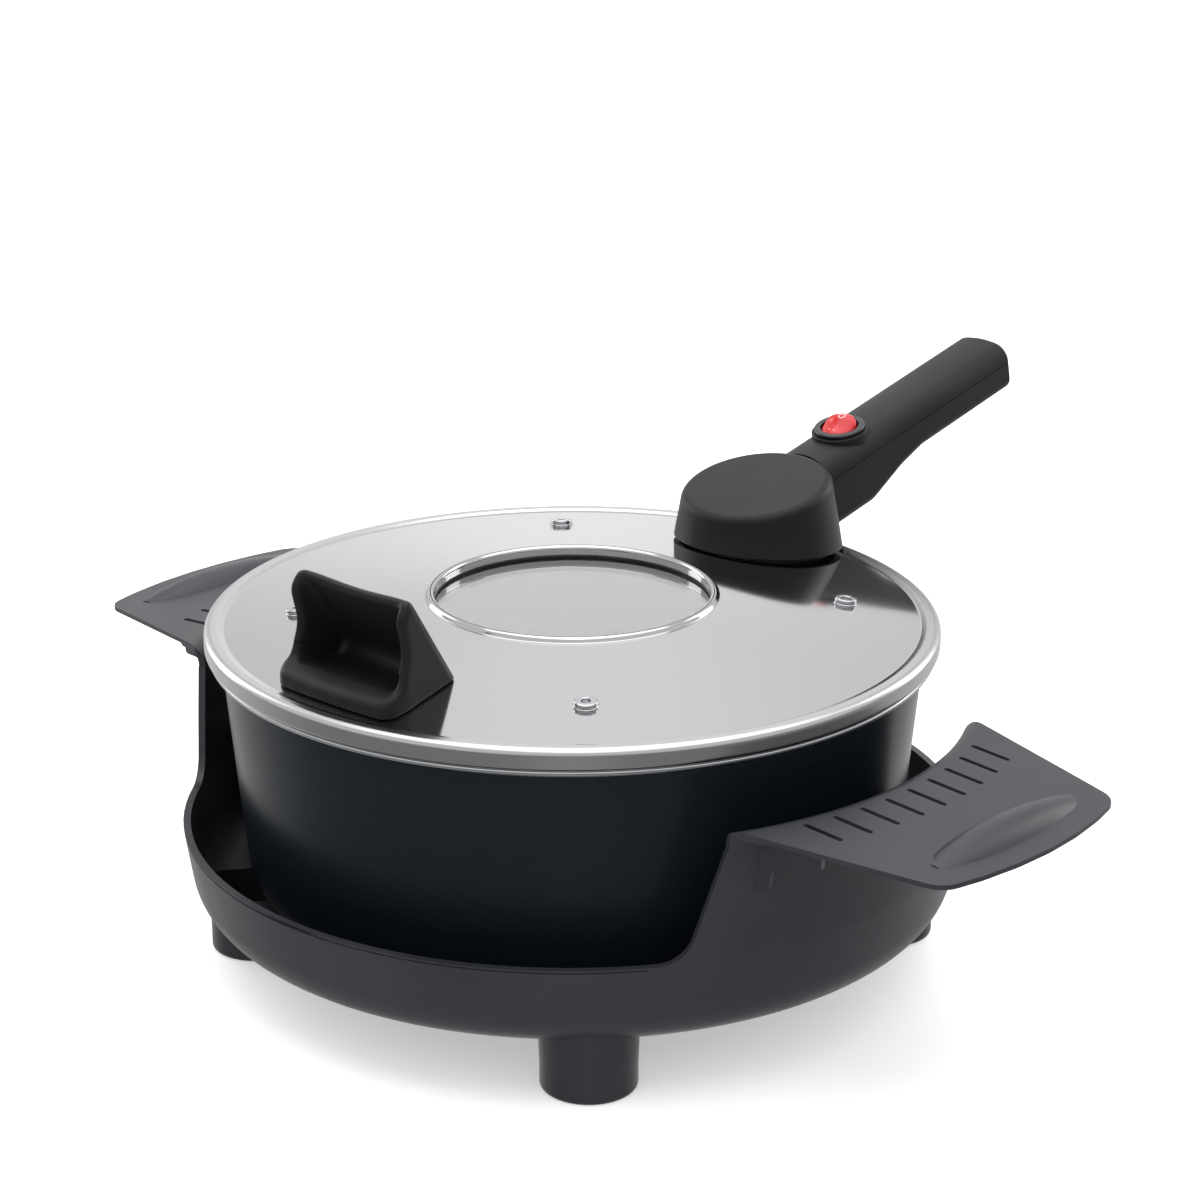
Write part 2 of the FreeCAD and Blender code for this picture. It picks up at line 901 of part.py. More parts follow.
def element_clips():
    """Straps that hang from the heat shield and pass round the element's upper half."""
    z = element_level()
    inner = element_tube_radius + fit_gap
    outer = inner + clip_sheet
    slope = math.radians(cover_slope)
    shield_under = (shield_drop_total() + shield_sheet) / math.cos(slope)
    top = cover_height(element_circle_radius + clip_sheet) - shield_under
    clips = []
    for angle in clip_angles:
        place = Vector(element_circle_radius, -clip_width / 2, z)
        across = Vector(0, 1, 0)
        strap = Part.makeCylinder(outer, clip_width, place, across)
        strap = strap.cut(Part.makeCylinder(inner, clip_width, place, across))
        above = block(
            element_circle_radius - outer, element_circle_radius + outer,
            -clip_width / 2, clip_width / 2, z, z + outer,
        )
        tab = block(
            element_circle_radius - clip_sheet / 2, element_circle_radius + clip_sheet / 2,
            -clip_width / 2, clip_width / 2, z + inner, top,
        )
        clip = joined([strap.common(above), tab])
        clips.append(turned_about(clip, angle + 30))
    return lifted(Part.makeCompound(clips))


def lid_studs():
    """Screws with a round head and a hex recess, standing square on the cover."""
    length = shield_drop_total() + shield_sheet + nut_height
    seat = washer_thickness
    points = [
        (0, seat),
        (stud_head_radius, seat, 0.4),
        (stud_head_radius, seat + stud_head_height, 0.7),
        (0, seat + stud_head_height),
    ]
    head = turned(outline(points, at_side))
    top = seat + stud_head_height
    head = head.cut(hexagon(stud_hex_across, top - stud_hex_depth, top + 1))
    stud = joined([head, rod(stud_shank_radius, -length, seat)])
    return lifted(Part.makeCompound([on_cover(stud, stud_circle_radius, a) for a in stud_angles]))


def stud_washers():
    points = [
        (stud_shank_radius + fit_gap, 0),
        (washer_radius, 0, 0.3),
        (washer_radius, washer_thickness, 0.5),
        (stud_shank_radius + fit_gap, washer_thickness),
    ]
    washer = turned(outline(points, at_side))
    return lifted(Part.makeCompound([on_cover(washer, stud_circle_radius, a) for a in stud_angles]))


def stud_spacers():
    low = seat_gap - shield_drop_total()
    tube = ring(stud_shank_radius + fit_gap, spacer_radius, low, -cover_sheet - seat_gap)
    return lifted(Part.makeCompound([on_cover(tube, stud_circle_radius, a) for a in stud_angles]))


def stud_nuts():
    top = -shield_drop_total() - shield_sheet - seat_gap
    nut = hexagon(nut_across, top - nut_height, top)
    nut = nut.cut(rod(stud_shank_radius, top - nut_height, top))
    return lifted(Part.makeCompound([on_cover(nut, stud_circle_radius, a) for a in stud_angles]))


def thermal_cutout():
    low = -shield_drop_total()
    can = rod(cutout_radius, low, low + cutout_height - 2)
    cap = rod(cutout_radius - 1.5, low + cutout_height - 2, low + cutout_height)
    tags = [
        block(x - 0.4, x + 0.4, -2.4, 2.4, low + cutout_height, low + cutout_height + 4)
        for x in (-4, 4)
    ]
    return lifted(on_cover(joined([can, cap] + tags), cutout_circle_radius, cutout_angle))


# Head


def head_cone(shrink, low, high):
    """The head's tapered side as a solid between two heights."""
    def radius(level):
        return head_radius - shrink - head_draft * (level - head_bottom_level)
    place = Vector(0, head_centre, low)
    return Part.makeCone(radius(low), radius(high), high - low, place)


def head_slab(shrink):
    """What lies between the head's sloping bottom and its sloping top."""
    bottom = math.tan(math.radians(head_bottom_slope))
    top = math.tan(math.radians(head_top_slope))
    y_low = head_centre - head_radius - 5
    y_high = head_centre + head_radius + 5
    points = [
        (y_low, head_bottom_level - (y_low - head_centre) * bottom),
        (y_high, head_bottom_level - (y_high - head_centre) * bottom),
        (y_high, head_top_level - shrink + (y_high - head_top_centre) * top),
        (y_low, head_top_level - shrink + (y_low - head_top_centre) * top),
    ]
    return prism(points, at_end, -head_radius - 5, 2 * head_radius + 10)


def head_outside():
    solid = head_cone(0, 0, 60).common(head_slab(0))
    edges = [edge for edge in solid.Edges if edge.BoundBox.ZMax > head_top_level]
    return solid.makeFillet(head_edge_radius, edges)


def head_inside():
    solid = head_cone(head_wall, 0, 60).common(head_slab(head_wall))
    below = head_cone(head_wall, 0, head_bottom_level + 6)
    return solid.fuse(below)


def tongue(clearance=0.0):
    return block(
        -tongue_half_width - clearance, tongue_half_width + clearance,
        tongue_start - clearance, handle_root + 9,
        base_top_level - clearance, base_top_level + tongue_height + clearance,
    )


def head_housing():
    shell = head_outside().cut(head_inside())
    bosses = []
    for x, y in head_screw_places():
        boss = rod(boss_radius, base_top_level, 60, x, y).common(head_slab(0.5))
        bosses.append(boss)
    shell = joined([shell] + bosses)
    tools = [tongue(0.2)]
    for x, y in head_screw_places():
        depth = base_top_level + head_screw_depth + 1
        tools.append(rod(head_screw_radius + fit_gap, base_top_level - 1, depth, x, y))
    passage = block(
        -tongue_half_width, tongue_half_width, head_centre, handle_root + 9,
        base_top_level + tongue_height, base_top_level + tongue_height + 8,
    )
    tools.append(passage)
    return lifted(without(shell, tools))


def head_base():
    shape = rod(base_radius, 0, base_top_level, 0, head_centre).cut(under_cover())
    tools = [rod(wire_hole_radius, 0, 40, 0, head_centre)]
    for x, y in head_screw_places() + tongue_screw_places():
        tools.append(rod(head_screw_radius + fit_gap, 0, 40, x, y))
    return lifted(without(shape, tools))


def screw_under_cover(x, y, radius, head_radius_used, head_height, top):
    """A screw whose head bears on the underside of the cover."""
    reach = math.hypot(x, y) + head_radius_used
    under = cover_height(reach) - cover_sheet * 1.02
    head = rod(head_radius_used, under - head_height, under, x, y)
    cross = joined(
        [
            block(x - 0.5, x + 0.5, y - 2, y + 2, under - head_height - 1, under - head_height + 1),
            block(x - 2, x + 2, y - 0.5, y + 0.5, under - head_height - 1, under - head_height + 1),
        ]
    )
    return joined([head.cut(cross), rod(radius, under, top, x, y)])


def head_screws():
    top = base_top_level + head_screw_depth
    tongue_top = base_top_level + tongue_height - 1
    screws = []
    for x, y in head_screw_places():
        screws.append(
            screw_under_cover(
                x, y, head_screw_radius, head_screw_head_radius, head_screw_head_height, top
            )
        )
    for x, y in tongue_screw_places():
        screws.append(
            screw_under_cover(
                x, y, head_screw_radius, head_screw_head_radius, head_screw_head_height, tongue_top
            )
        )
    return lifted(Part.makeCompound(screws))


def terminal_block():
    low = base_top_level
    body = block(
        -block_half_width, block_half_width, block_place, block_place + block_depth,
        low, low + block_height,
    )
    holes = []
    for x in (-8, 0, 8):
        middle = low + block_height / 2
        place = Vector(x, block_place - 1, middle)
        holes.append(Part.makeCylinder(wire_radius + 0.3, block_depth + 2, place, Vector(0, 1, 0)))
        holes.append(rod(1.6, low + block_height - 2, low + block_height + 1, x, block_place + 5.5))
    return lifted(without(body, holes))


# Handle


def on_handle(shape):
    """From the handle's own frame into the lid's."""
    placed = shape.copy()
    placed.rotate(Vector(0, 0, 0), Vector(1, 0, 0), handle_rise)
    placed.translate(Vector(0, handle_root, handle_root_level + lid_seat))
    return placed


def off_handle(shape):
    """From the lid's frame, with heights above the lid's seat, into the handle's own."""
    placed = shape.copy()
    placed.translate(Vector(0, -handle_root, -handle_root_level))
    placed.rotate(Vector(0, 0, 0), Vector(1, 0, 0), -handle_rise)
    return placed


def handle_top(shrink, length):
    """The upper half, with its top arched across."""
    half = handle_half_width - shrink
    slope = math.radians(handle_crown_slope)
    bend = handle_crown_radius - shrink
    peak = handle_crown - shrink + bend * (1 / math.cos(slope) - 1)
    shoulder = peak - half * math.tan(slope)
    radius = handle_top_radius - shrink
    section = [
        (-half, 0),
        (half, 0),
        (half, shoulder, radius),
        (0, peak, bend),
        (-half, shoulder, radius),
    ]
    return prism(section, at_side, handle_start, length - handle_start)


def handle_under(shrink, length):
    """The lower half, with square edges."""
    depth = handle_depth - shrink
    belly = belly_depth - shrink
    half = handle_half_width - shrink
    points = [
        (handle_start, 0),
        (handle_start, -belly),
        (belly_end - shrink * 0.2, -belly, belly_radius),
        (belly_slope_end, -depth - 3, 14),
        (belly_rise_end, -depth, 24),
        (length, -depth),
        (length, 0),
    ]
    return prism(points, at_end, -half, 2 * half)


def end_rounded(solid):
    """A half of the handle with the edge round its end rounded, except along the split line."""
    edges = []
    for edge in solid.Edges:
        box = edge.BoundBox
        at_split = box.ZLength < 0.01 and abs(box.ZMax) < 0.01
        if box.YMin > handle_length - 0.01 and not at_split:
            edges.append(edge)
    return solid.makeFillet(handle_end_radius, edges)


def rounded_under():
    """The lower half with its long edges rounded, and then its end."""
    solid = handle_under(0, handle_length)
    edges = []
    for edge in solid.Edges:
        box = edge.BoundBox
        if box.ZMax < -handle_depth + 0.5 and box.YLength > 0.01 and box.XLength < 0.01:
            edges.append(edge)
    return end_rounded(solid.makeFillet(handle_bottom_radius, edges))


def inlet_outline(grow):
    half = inlet_half_width + grow
    top = inlet_top + grow
    low = inlet_bottom - grow
    return [
        (-half, low),
        (half, low),
        (half, top - inlet_chamfer),
        (half - inlet_chamfer, top),
        (-half + inlet_chamfer, top),
        (-half, top - inlet_chamfer),
    ]


def end_opening():
    start = inner_length() - past
    return prism(inlet_outline(fit_gap), at_side, start, handle_length + 2 - start)


def inner_length():
    return handle_length - handle_end_wall


def handle_upper():
    solid = end_rounded(handle_top(0, handle_length))
    hollow = handle_top(handle_wall, inner_length())
    collar_low = handle_crown - 4
    collar = rod(collar_radius, collar_low, handle_crown + collar_height, 0, switch_place)
    collar = collar.makeFillet(
        0.6, [edge for edge in collar.Edges if edge.BoundBox.ZMin > handle_crown]
    )
    bosses = [
        rod(handle_boss_radius, 0, handle_crown - 1, 0, y) for y in handle_screw_places
    ]
    shell = joined([solid.cut(hollow), collar] + bosses)
    hole = barrel_radius + switch_hole_clearance
    tools = [rod(hole, -1, handle_crown + collar_height + 1, 0, switch_place), end_opening()]
    for y in handle_screw_places:
        tools.append(rod(handle_screw_radius + fit_gap, -1, handle_crown - 3, 0, y))
    gap = block(-40, 40, -60, 200, -1, handle_split_gap / 2)
    tools.append(gap)
    tools.append(off_handle(head_cone(-seam_gap, 0, 60)))
    return on_handle(without(shell, tools))


def handle_lower():
    solid = rounded_under()
    hollow = handle_under(handle_wall, inner_length())
    bosses = [
        rod(handle_boss_radius, -handle_depth + 1, 0, 0, y) for y in handle_screw_places
    ]
    shell = joined([solid.cut(hollow)] + bosses)
    tools = [end_opening()]
    for y in handle_screw_places:
        seat = -handle_depth + handle_screw_recess
        tools.append(rod(handle_screw_radius + fit_gap, -40, 1, 0, y))
        tools.append(rod(handle_screw_head_radius + 0.2, -40, seat, 0, y))
    tools.append(block(-40, 40, -60, 200, -handle_split_gap / 2, 1))
    tools.append(off_handle(head_cone(-seam_gap, 0, 60)))
    shell = without(shell, tools)
    foot = block(
        -tongue_half_width, tongue_half_width, handle_root - 5, handle_root + 9,
        0, base_top_level + tongue_height,
    )
    foot = foot.cut(head_cone(-seam_gap, 0, 60))
    foot = off_handle(foot).common(handle_under(0.5, handle_length))
    shell = joined([shell, off_handle(tongue()), foot])
    holes = []
    for x, y in tongue_screw_places():
        hole = rod(head_screw_radius + fit_gap, 0, base_top_level + tongue_height + 1, x, y)
        holes.append(off_handle(hole))
    return on_handle(without(shell, holes))


def handle_screws():
    screws = []
    for y in handle_screw_places:
        seat = -handle_depth + handle_screw_recess
        head = rod(
            handle_screw_head_radius, seat - handle_screw_head_height, seat, 0, y
        )
        low = seat - handle_screw_head_height
        slot = joined(
            [
                block(-0.4, 0.4, y - 1.6, y + 1.6, low - 1, low + 0.9),
                block(-1.6, 1.6, y - 0.4, y + 0.4, low - 1, low + 0.9),
            ]
        )
        screws.append(joined([head.cut(slot), rod(handle_screw_radius, seat, handle_crown - 3.5, 0, y)]))
    return on_handle(Part.makeCompound(screws))


# Switch


def bezel_base():
    return handle_crown + collar_height


def pivot_level():
    return bezel_base() + bezel_thickness - rocker_pivot_depth


def switch_bezel():
    low = bezel_base()
    points = [
        (bezel_opening_radius, low),
        (bezel_radius, low, 0.3),
        (bezel_radius, low + bezel_thickness, 1.1),
        (bezel_opening_radius, low + bezel_thickness),
    ]
    shape = turned(outline(points, at_side))
    shape.translate(Vector(0, switch_place, 0))
    return on_handle(shape)


def rocker_pin(clearance, reach):
    place = Vector(-reach, switch_place, pivot_level())
    return Part.makeCylinder(rocker_pin_radius + clearance, 2 * reach, place, Vector(1, 0, 0))


def switch_body():
    """The barrel that the switch clips into the handle with."""
    high = bezel_base()
    low = high - barrel_depth
    inner = barrel_radius - barrel_wall
    barrel = rod(barrel_radius, low, high, 0, switch_place)
    hollow = rod(inner, high - 8, high + 1, 0, switch_place)
    return on_handle(barrel.cut(hollow).cut(rocker_pin(rocker_pin_clearance, barrel_radius + 1)))


def switch_terminals():
    """Two flat tags under the switch."""
    high = bezel_base() - barrel_depth
    tags = []
    for side in (-1, 1):
        y = switch_place + side * 4
        tags.append(
            block(
                -terminal_width / 2, terminal_width / 2, y - terminal_sheet / 2,
                y + terminal_sheet / 2, high - terminal_length, high,
            )
        )
    return on_handle(Part.makeCompound(tags))


def switch_rocker():
    """The rocker, built level and then tipped so that its far end stands up."""
    level = pivot_level()
    barrel = rod(rocker_radius, level - rocker_skirt, level + rocker_crest + 2, 0, switch_place)
    ball = Part.makeSphere(rocker_ball_radius, Vector(0, switch_place, level))
    end = rocker_radius + 2
    dip = rocker_crest - rocker_waist
    sag = (end ** 2 + dip ** 2) / (2 * dip)
    saddle = Part.makeCylinder(
        sag, 40, Vector(-20, switch_place, level + rocker_waist + sag), Vector(1, 0, 0)
    )
    body = barrel.common(ball).cut(saddle)
    body = joined([body, rocker_pin(0, rocker_pin_half_length)])
    body.rotate(Vector(0, switch_place, level), Vector(1, 0, 0), rocker_tilt)
    return on_handle(body)


# Mains inlet


def mains_inlet():
    start = inlet_front - inlet_length
    shape = prism(inlet_outline(0), at_side, start, inlet_length)
    socket_start = inlet_front - inlet_socket_depth
    socket = prism(inlet_outline(-inlet_wall), at_side, socket_start, inlet_socket_depth + 1)
    return on_handle(without(shape, [socket] + pin_blocks(0)))


def pin_blocks(clearance):
    start = inlet_front - inlet_length - pin_tail
    end = inlet_front - pin_tip_recess
    pins = []
    for x, z in ((-pin_pitch, pin_row_level), (pin_pitch, pin_row_level), (0, earth_pin_level)):
        half = pin_thickness / 2 + clearance
        tall = pin_height / 2 + clearance
        pins.append(block(x - half, x + half, start, end, z - tall, z + tall))
    return pins


def inlet_pins():
    return on_handle(Part.makeCompound(pin_blocks(0)))


# Finger grip


def finger_grip():
    """A scoop that is open towards the rim, opposite the handle."""
    side = [
        (-grip_back, grip_back_level),
        (-grip_front, grip_back_level / 2),
        (-grip_front, grip_front_level, grip_edge_radius),
        (-grip_waist - grip_wall, grip_lip_level + grip_edge_radius / 2, 2 * grip_edge_radius),
        (-grip_waist, grip_side_level, grip_side_fillet),
        (-grip_brow, grip_top_level - grip_brow_drop, grip_brow_drop),
        (-grip_top, grip_top_level, grip_edge_radius),
    ]
    solid = prism(side, at_end, -far, 2 * far)
    back = grip_back - 2
    taper = grip_front - grip_plan_taper
    right = [
        (grip_half_width, -grip_front + grip_bulge, grip_corner_radius),
        (grip_half_width, -taper, grip_plan_fillet),
        (grip_back_half_width, -back, 2),
    ]
    left = [(-x, y, radius) for x, y, radius in reversed(right)]
    front_radius = (grip_half_width - 2 * grip_corner_radius) * grip_half_width / grip_bulge
    plan = [(0, -back)] + left + [(0, -grip_front, front_radius)] + right
    solid = solid.common(prism(plan, at_plan, 0, far))
    sag = (grip_back_half_width ** 2 + grip_dip ** 2) / (2 * grip_dip)
    centre = Vector(0, 0, grip_top_level - grip_dip + sag)
    solid = solid.cut(Part.makeCylinder(sag, far, centre, Vector(0, -1, 0)))
    lean = (grip_top - grip_back) / (grip_top_level - grip_back_level)
    shift = grip_wall * math.sqrt(1 + lean ** 2)
    inner_back = grip_back + shift + lean * (grip_floor_level - grip_back_level)
    rise = grip_top_level
    hollow = [
        (-inner_back - lean * rise, grip_floor_level + rise),
        (-inner_back, grip_floor_level, grip_floor_fillet),
        (-inner_back - grip_floor_run, grip_floor_level - 1, grip_lip_fillet),
        (-grip_waist - grip_wall, grip_lip_level, grip_edge_radius),
        (-far, grip_lip_level),
        (-far, grip_floor_level + rise),
    ]
    inner_plan = [
        (grip_back_half_width - grip_wall, -back),
        (grip_half_width - grip_wall, -taper, grip_plan_fillet),
        (grip_half_width - grip_wall, -far),
    ]
    inner_plan += [(-point[0],) + point[1:] for point in reversed(inner_plan)]
    hollow = prism(hollow, at_end, -far, 2 * far).common(prism(inner_plan, at_plan, 0, far))
    solid = solid.cut(hollow)
    solid = solid.cut(under_cover())
    tools = []
    for x, y in grip_screw_places():
        top = cover_height(grip_screw_place) + grip_screw_depth
        tools.append(rod(grip_screw_radius + fit_gap, 0, top, x, y))
    return lifted(without(solid, tools))


def grip_screws():
    top = cover_height(grip_screw_place) + grip_screw_depth - 0.5
    screws = [
        screw_under_cover(
            x, y, grip_screw_radius, grip_screw_head_radius, grip_screw_head_height, top
        )
        for x, y in grip_screw_places()
    ]
    return lifted(Part.makeCompound(screws))


# Wires


def wire(points):
    """A tube through the points, with arcs that touch halfway along the shorter run."""
    vectors = [Vector(*point) for point in points]
    edges = []
    here = vectors[0]
    for i in range(1, len(vectors) - 1):
        corner = vectors[i]
        before = (corner - vectors[i - 1])
        after = (vectors[i + 1] - corner)
        reach = 0.45 * min(before.Length, after.Length)
        start = corner - before.normalize() * reach
        end = corner + after.normalize() * reach
        chord = (start + end) * 0.5
        half_turn = before.getAngle(after) / 2
        radius = reach / math.tan(half_turn)
        centre = corner + (chord - corner).normalize() * (radius / math.cos(half_turn))
        middle = centre + (corner - centre).normalize() * radius
        edges.append(Part.LineSegment(here, start).toShape())
        edges.append(Part.Arc(start, middle, end).toShape())
        here = end
    edges.append(Part.LineSegment(here, vectors[-1]).toShape())
    path = Part.Wire(edges)
    first = (vectors[1] - vectors[0]).normalize()
    circle = Part.Wire(Part.makeCircle(wire_radius, vectors[0], first))
    tube = Part.Wire(path).makePipeShell([circle], True, False)
    length = sum(edge.Length for edge in edges)
    print("wire", round(length, 1), "mm, volume over section times length",
          round(tube.Volume / (math.pi * wire_radius ** 2 * length), 4))
    return tube


def in_lid(point):
    """A point of the handle's own frame as a point of the lid's frame."""
    angle = math.radians(handle_rise)
    x, y, z = point
    return (
        x,
        handle_root + y * math.cos(angle) - z * math.sin(angle),
        handle_root_level + y * math.sin(angle) + z * math.cos(angle),
    )


def block_hole(x):
    return (x, block_place + block_depth, base_top_level + block_height / 2)


def passage_points(x):
    """Where a wire passes from the handle into the head, above the tongue."""
    level = base_top_level + tongue_height + 4
    return [(x, 146, level), (x, 128, level)]


def live_wires():
    pin_end = inlet_front - inlet_length - pin_tail
    tag = bezel_base() - barrel_depth - terminal_length
    far = switch_place + 4
    near = switch_place - 4
    to_switch = [
        in_lid((-pin_pitch, pin_end, pin_row_level)),
        in_lid((-pin_pitch, pin_end - 12, pin_row_level)),
        in_lid((-wire_spread, 80, -6)),
        in_lid((-wire_spread, 50, -7)),
        in_lid((-5, far + 6, tag - 2.5)),
        in_lid((0, far, tag - 2.5)),
        in_lid((0, far, tag)),
    ]
    to_block = [
        in_lid((0, near, tag)),
        in_lid((0, near, tag - 2.5)),
        in_lid((-4, near - 8, tag + 2.5)),
    ] + passage_points(-7) + [(-8, 118, block_hole(-8)[2]), block_hole(-8)]
    return [to_switch, to_block]


def under_switch(x, y):
    """A point of a wire that passes under the switch's barrel."""
    return in_lid((x, y, bezel_base() - barrel_depth - under_barrel))


def neutral_wires():
    pin_end = inlet_front - inlet_length - pin_tail
    to_block = [
        in_lid((pin_pitch, pin_end, pin_row_level)),
        in_lid((pin_pitch, pin_end - 12, pin_row_level)),
        in_lid((wire_spread, 80, -7)),
        in_lid((wire_spread, 60, -7)),
        under_switch(beside_barrel, switch_place + 13),
        under_switch(beside_barrel, switch_place - 10.5),
        in_lid((8, 9, -5.5)),
    ] + passage_points(7) + [(8, 118, block_hole(8)[2]), block_hole(8)]
    return [to_block]


def earth_wires():
    pin_end = inlet_front - inlet_length - pin_tail
    middle = terminal_width / 2 + wire_radius + 1.6
    to_block = [
        in_lid((0, pin_end, earth_pin_level)),
        in_lid((0, pin_end - 7, earth_pin_level)),
        in_lid((5.6, 94, -2)),
        in_lid((5.2, 60, -3.5)),
        under_switch(middle, switch_place + 13),
        under_switch(middle, switch_place - 10.5),
        in_lid((4, 9, -5.5)),
    ] + passage_points(0) + [(0, 118, block_hole(0)[2]), block_hole(0)]
    return [to_block]


def wire_group(routes):
    return lifted(Part.makeCompound([wire(points) for points in routes]))


def build_all():
    save("stand_frame", stand_frame())
    save("pan_bowl", pan_bowl())
    save("lid_cover", lid_cover())
    save("lid_dome", lid_dome())
    save("window_glass", window_glass())
    save("window_gasket", window_gasket())
    save("heating_element", heating_element())
    save("element_clips", element_clips())
    save("heat_shield", heat_shield())
    save("insulation_ring", insulation_ring())
    save("thermal_cutout", thermal_cutout())
    save("lid_studs", lid_studs())
    save("stud_washers", stud_washers())
    save("stud_spacers", stud_spacers())
    save("stud_nuts", stud_nuts())
    save("head_housing", head_housing())
    save("head_base", head_base())
    save("head_screws", head_screws())
    save("terminal_block", terminal_block())
    save("handle_upper", handle_upper())
    save("handle_lower", handle_lower())
    save("handle_screws", handle_screws())
    save("switch_bezel", switch_bezel())
    save("switch_body", switch_body())
    save("switch_terminals", switch_terminals())
    save("switch_rocker", switch_rocker())
    save("mains_inlet", mains_inlet())
    save("inlet_pins", inlet_pins())
    save("finger_grip", finger_grip())
    save("grip_screws", grip_screws())
    save("live_wires", wire_group(live_wires()))
    save("neutral_wires", wire_group(neutral_wires()))
    save("earth_wire", wire_group(earth_wires()))


build_all()
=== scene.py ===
import math

import bmesh
import bpy
import numpy as np
from mathutils import Matrix, Vector


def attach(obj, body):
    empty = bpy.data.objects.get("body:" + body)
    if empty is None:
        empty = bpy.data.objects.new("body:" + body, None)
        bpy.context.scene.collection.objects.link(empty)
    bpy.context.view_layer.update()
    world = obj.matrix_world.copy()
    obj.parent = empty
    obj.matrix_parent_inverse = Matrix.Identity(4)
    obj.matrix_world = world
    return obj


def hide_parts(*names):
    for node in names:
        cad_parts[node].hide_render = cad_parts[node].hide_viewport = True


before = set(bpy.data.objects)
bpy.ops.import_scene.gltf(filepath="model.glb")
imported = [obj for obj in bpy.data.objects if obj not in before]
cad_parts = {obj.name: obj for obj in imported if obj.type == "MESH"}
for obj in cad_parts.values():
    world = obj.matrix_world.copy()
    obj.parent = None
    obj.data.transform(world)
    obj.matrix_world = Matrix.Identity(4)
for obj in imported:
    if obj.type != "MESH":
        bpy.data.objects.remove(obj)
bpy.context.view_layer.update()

mm = 0.001
fullTurn = 2 * math.pi
# a smaller turn than this, in radians, is no corner
straight = 1e-4

# Heights that the pieces share, in millimetres
seats = {"panBase": 30.0, "lidSeat": 135.0}


# Outlines

def unitTo(a, b):
    run = math.hypot(b[0] - a[0], b[1] - a[1])
    return ((b[0] - a[0]) / run, (b[1] - a[1]) / run)


def offsetPath(points, distance):
    # the path moved to its left, with each corner's radius changed to suit
    moved = []
    last = len(points) - 1
    for i, point in enumerate(points):
        before = unitTo(points[max(i - 1, 0)], points[max(i - 1, 0) + 1])
        after = unitTo(points[min(i, last - 1)], points[min(i, last - 1) + 1])
        nBefore = (-before[1], before[0])
        nAfter = (-after[1], after[0])
        share = 1 + nBefore[0] * nAfter[0] + nBefore[1] * nAfter[1]
        x = point[0] + distance * (nBefore[0] + nAfter[0]) / share
        z = point[1] + distance * (nBefore[1] + nAfter[1]) / share
        radius = point[2] if len(point) > 2 else 0
        if radius:
            turn = before[0] * after[1] - before[1] * after[0]
            radius = radius - distance if turn > 0 else radius + distance
        moved.append((x, z, radius))
    return moved


def roundedPath(points, closed=False, stepDegrees=6.0, support=0.25):
    # points with a radius become arcs, and straight runs get support points near their ends
    path = []
    count = len(points)
    for i in range(count):
        here = points[i]
        radius = here[2] if len(here) > 2 else 0
        if not radius or (not closed and i in (0, count - 1)):
            path.append((here[0], here[1]))
            continue
        prior = points[i - 1]
        nextPoint = points[(i + 1) % count]
        before = unitTo(prior, here)
        after = unitTo(here, nextPoint)
        cross = before[0] * after[1] - before[1] * after[0]
        turn = math.acos(max(-1, min(1, before[0] * after[0] + before[1] * after[1])))
        if turn < straight:
            path.append((here[0], here[1]))
            continue
        cut = radius * math.tan(turn / 2)
        start = (here[0] - before[0] * cut, here[1] - before[1] * cut)
        side = 1 if cross > 0 else -1
        centre = (start[0] - before[1] * radius * side, start[1] + before[0] * radius * side)
        steps = max(3, math.ceil(math.degrees(turn) / stepDegrees))
        first = math.atan2(start[1] - centre[1], start[0] - centre[0])
        path.append((start[0] - before[0] * support, start[1] - before[1] * support))
        for k in range(steps + 1):
            angle = first + side * turn * k / steps
            path.append((centre[0] + radius * math.cos(angle), centre[1] + radius * math.sin(angle)))
        end = (here[0] + after[0] * cut, here[1] + after[1] * cut)
        path.append((end[0] + after[0] * support, end[1] + after[1] * support))
    return path


def sheetLoop(points, thickness, edge, stepDegrees=5.0):
    # the closed section of a bent sheet, with its two cut edges rounded
    left = offsetPath(points, thickness / 2)
    right = offsetPath(points, -thickness / 2)
    loop = left[:-1] + [(left[-1][0], left[-1][1], edge), (right[-1][0], right[-1][1], edge)]
    loop += right[-2:0:-1] + [(right[0][0], right[0][1], edge)]
    loop[0] = (left[0][0], left[0][1], edge)
    return roundedPath(loop, True, stepDegrees)


# Geometry Nodes

# Points nearer than this are one, in metres
weldWithin = {"turned": 1e-6, "finished": 1e-7, "cadCopy": 2e-6}


def newTree(name, inputs):
    tree = bpy.data.node_groups.new(name, "GeometryNodeTree")
    tree.interface.new_socket("Geometry", in_out="INPUT", socket_type="NodeSocketGeometry")
    for label, kind, value in inputs:
        socket = tree.interface.new_socket(label, in_out="INPUT", socket_type="NodeSocket" + kind)
        if value is not None:
            socket.default_value = value
    tree.interface.new_socket("Geometry", in_out="OUTPUT", socket_type="NodeSocketGeometry")
    return tree, tree.nodes.new("NodeGroupInput"), tree.nodes.new("NodeGroupOutput")


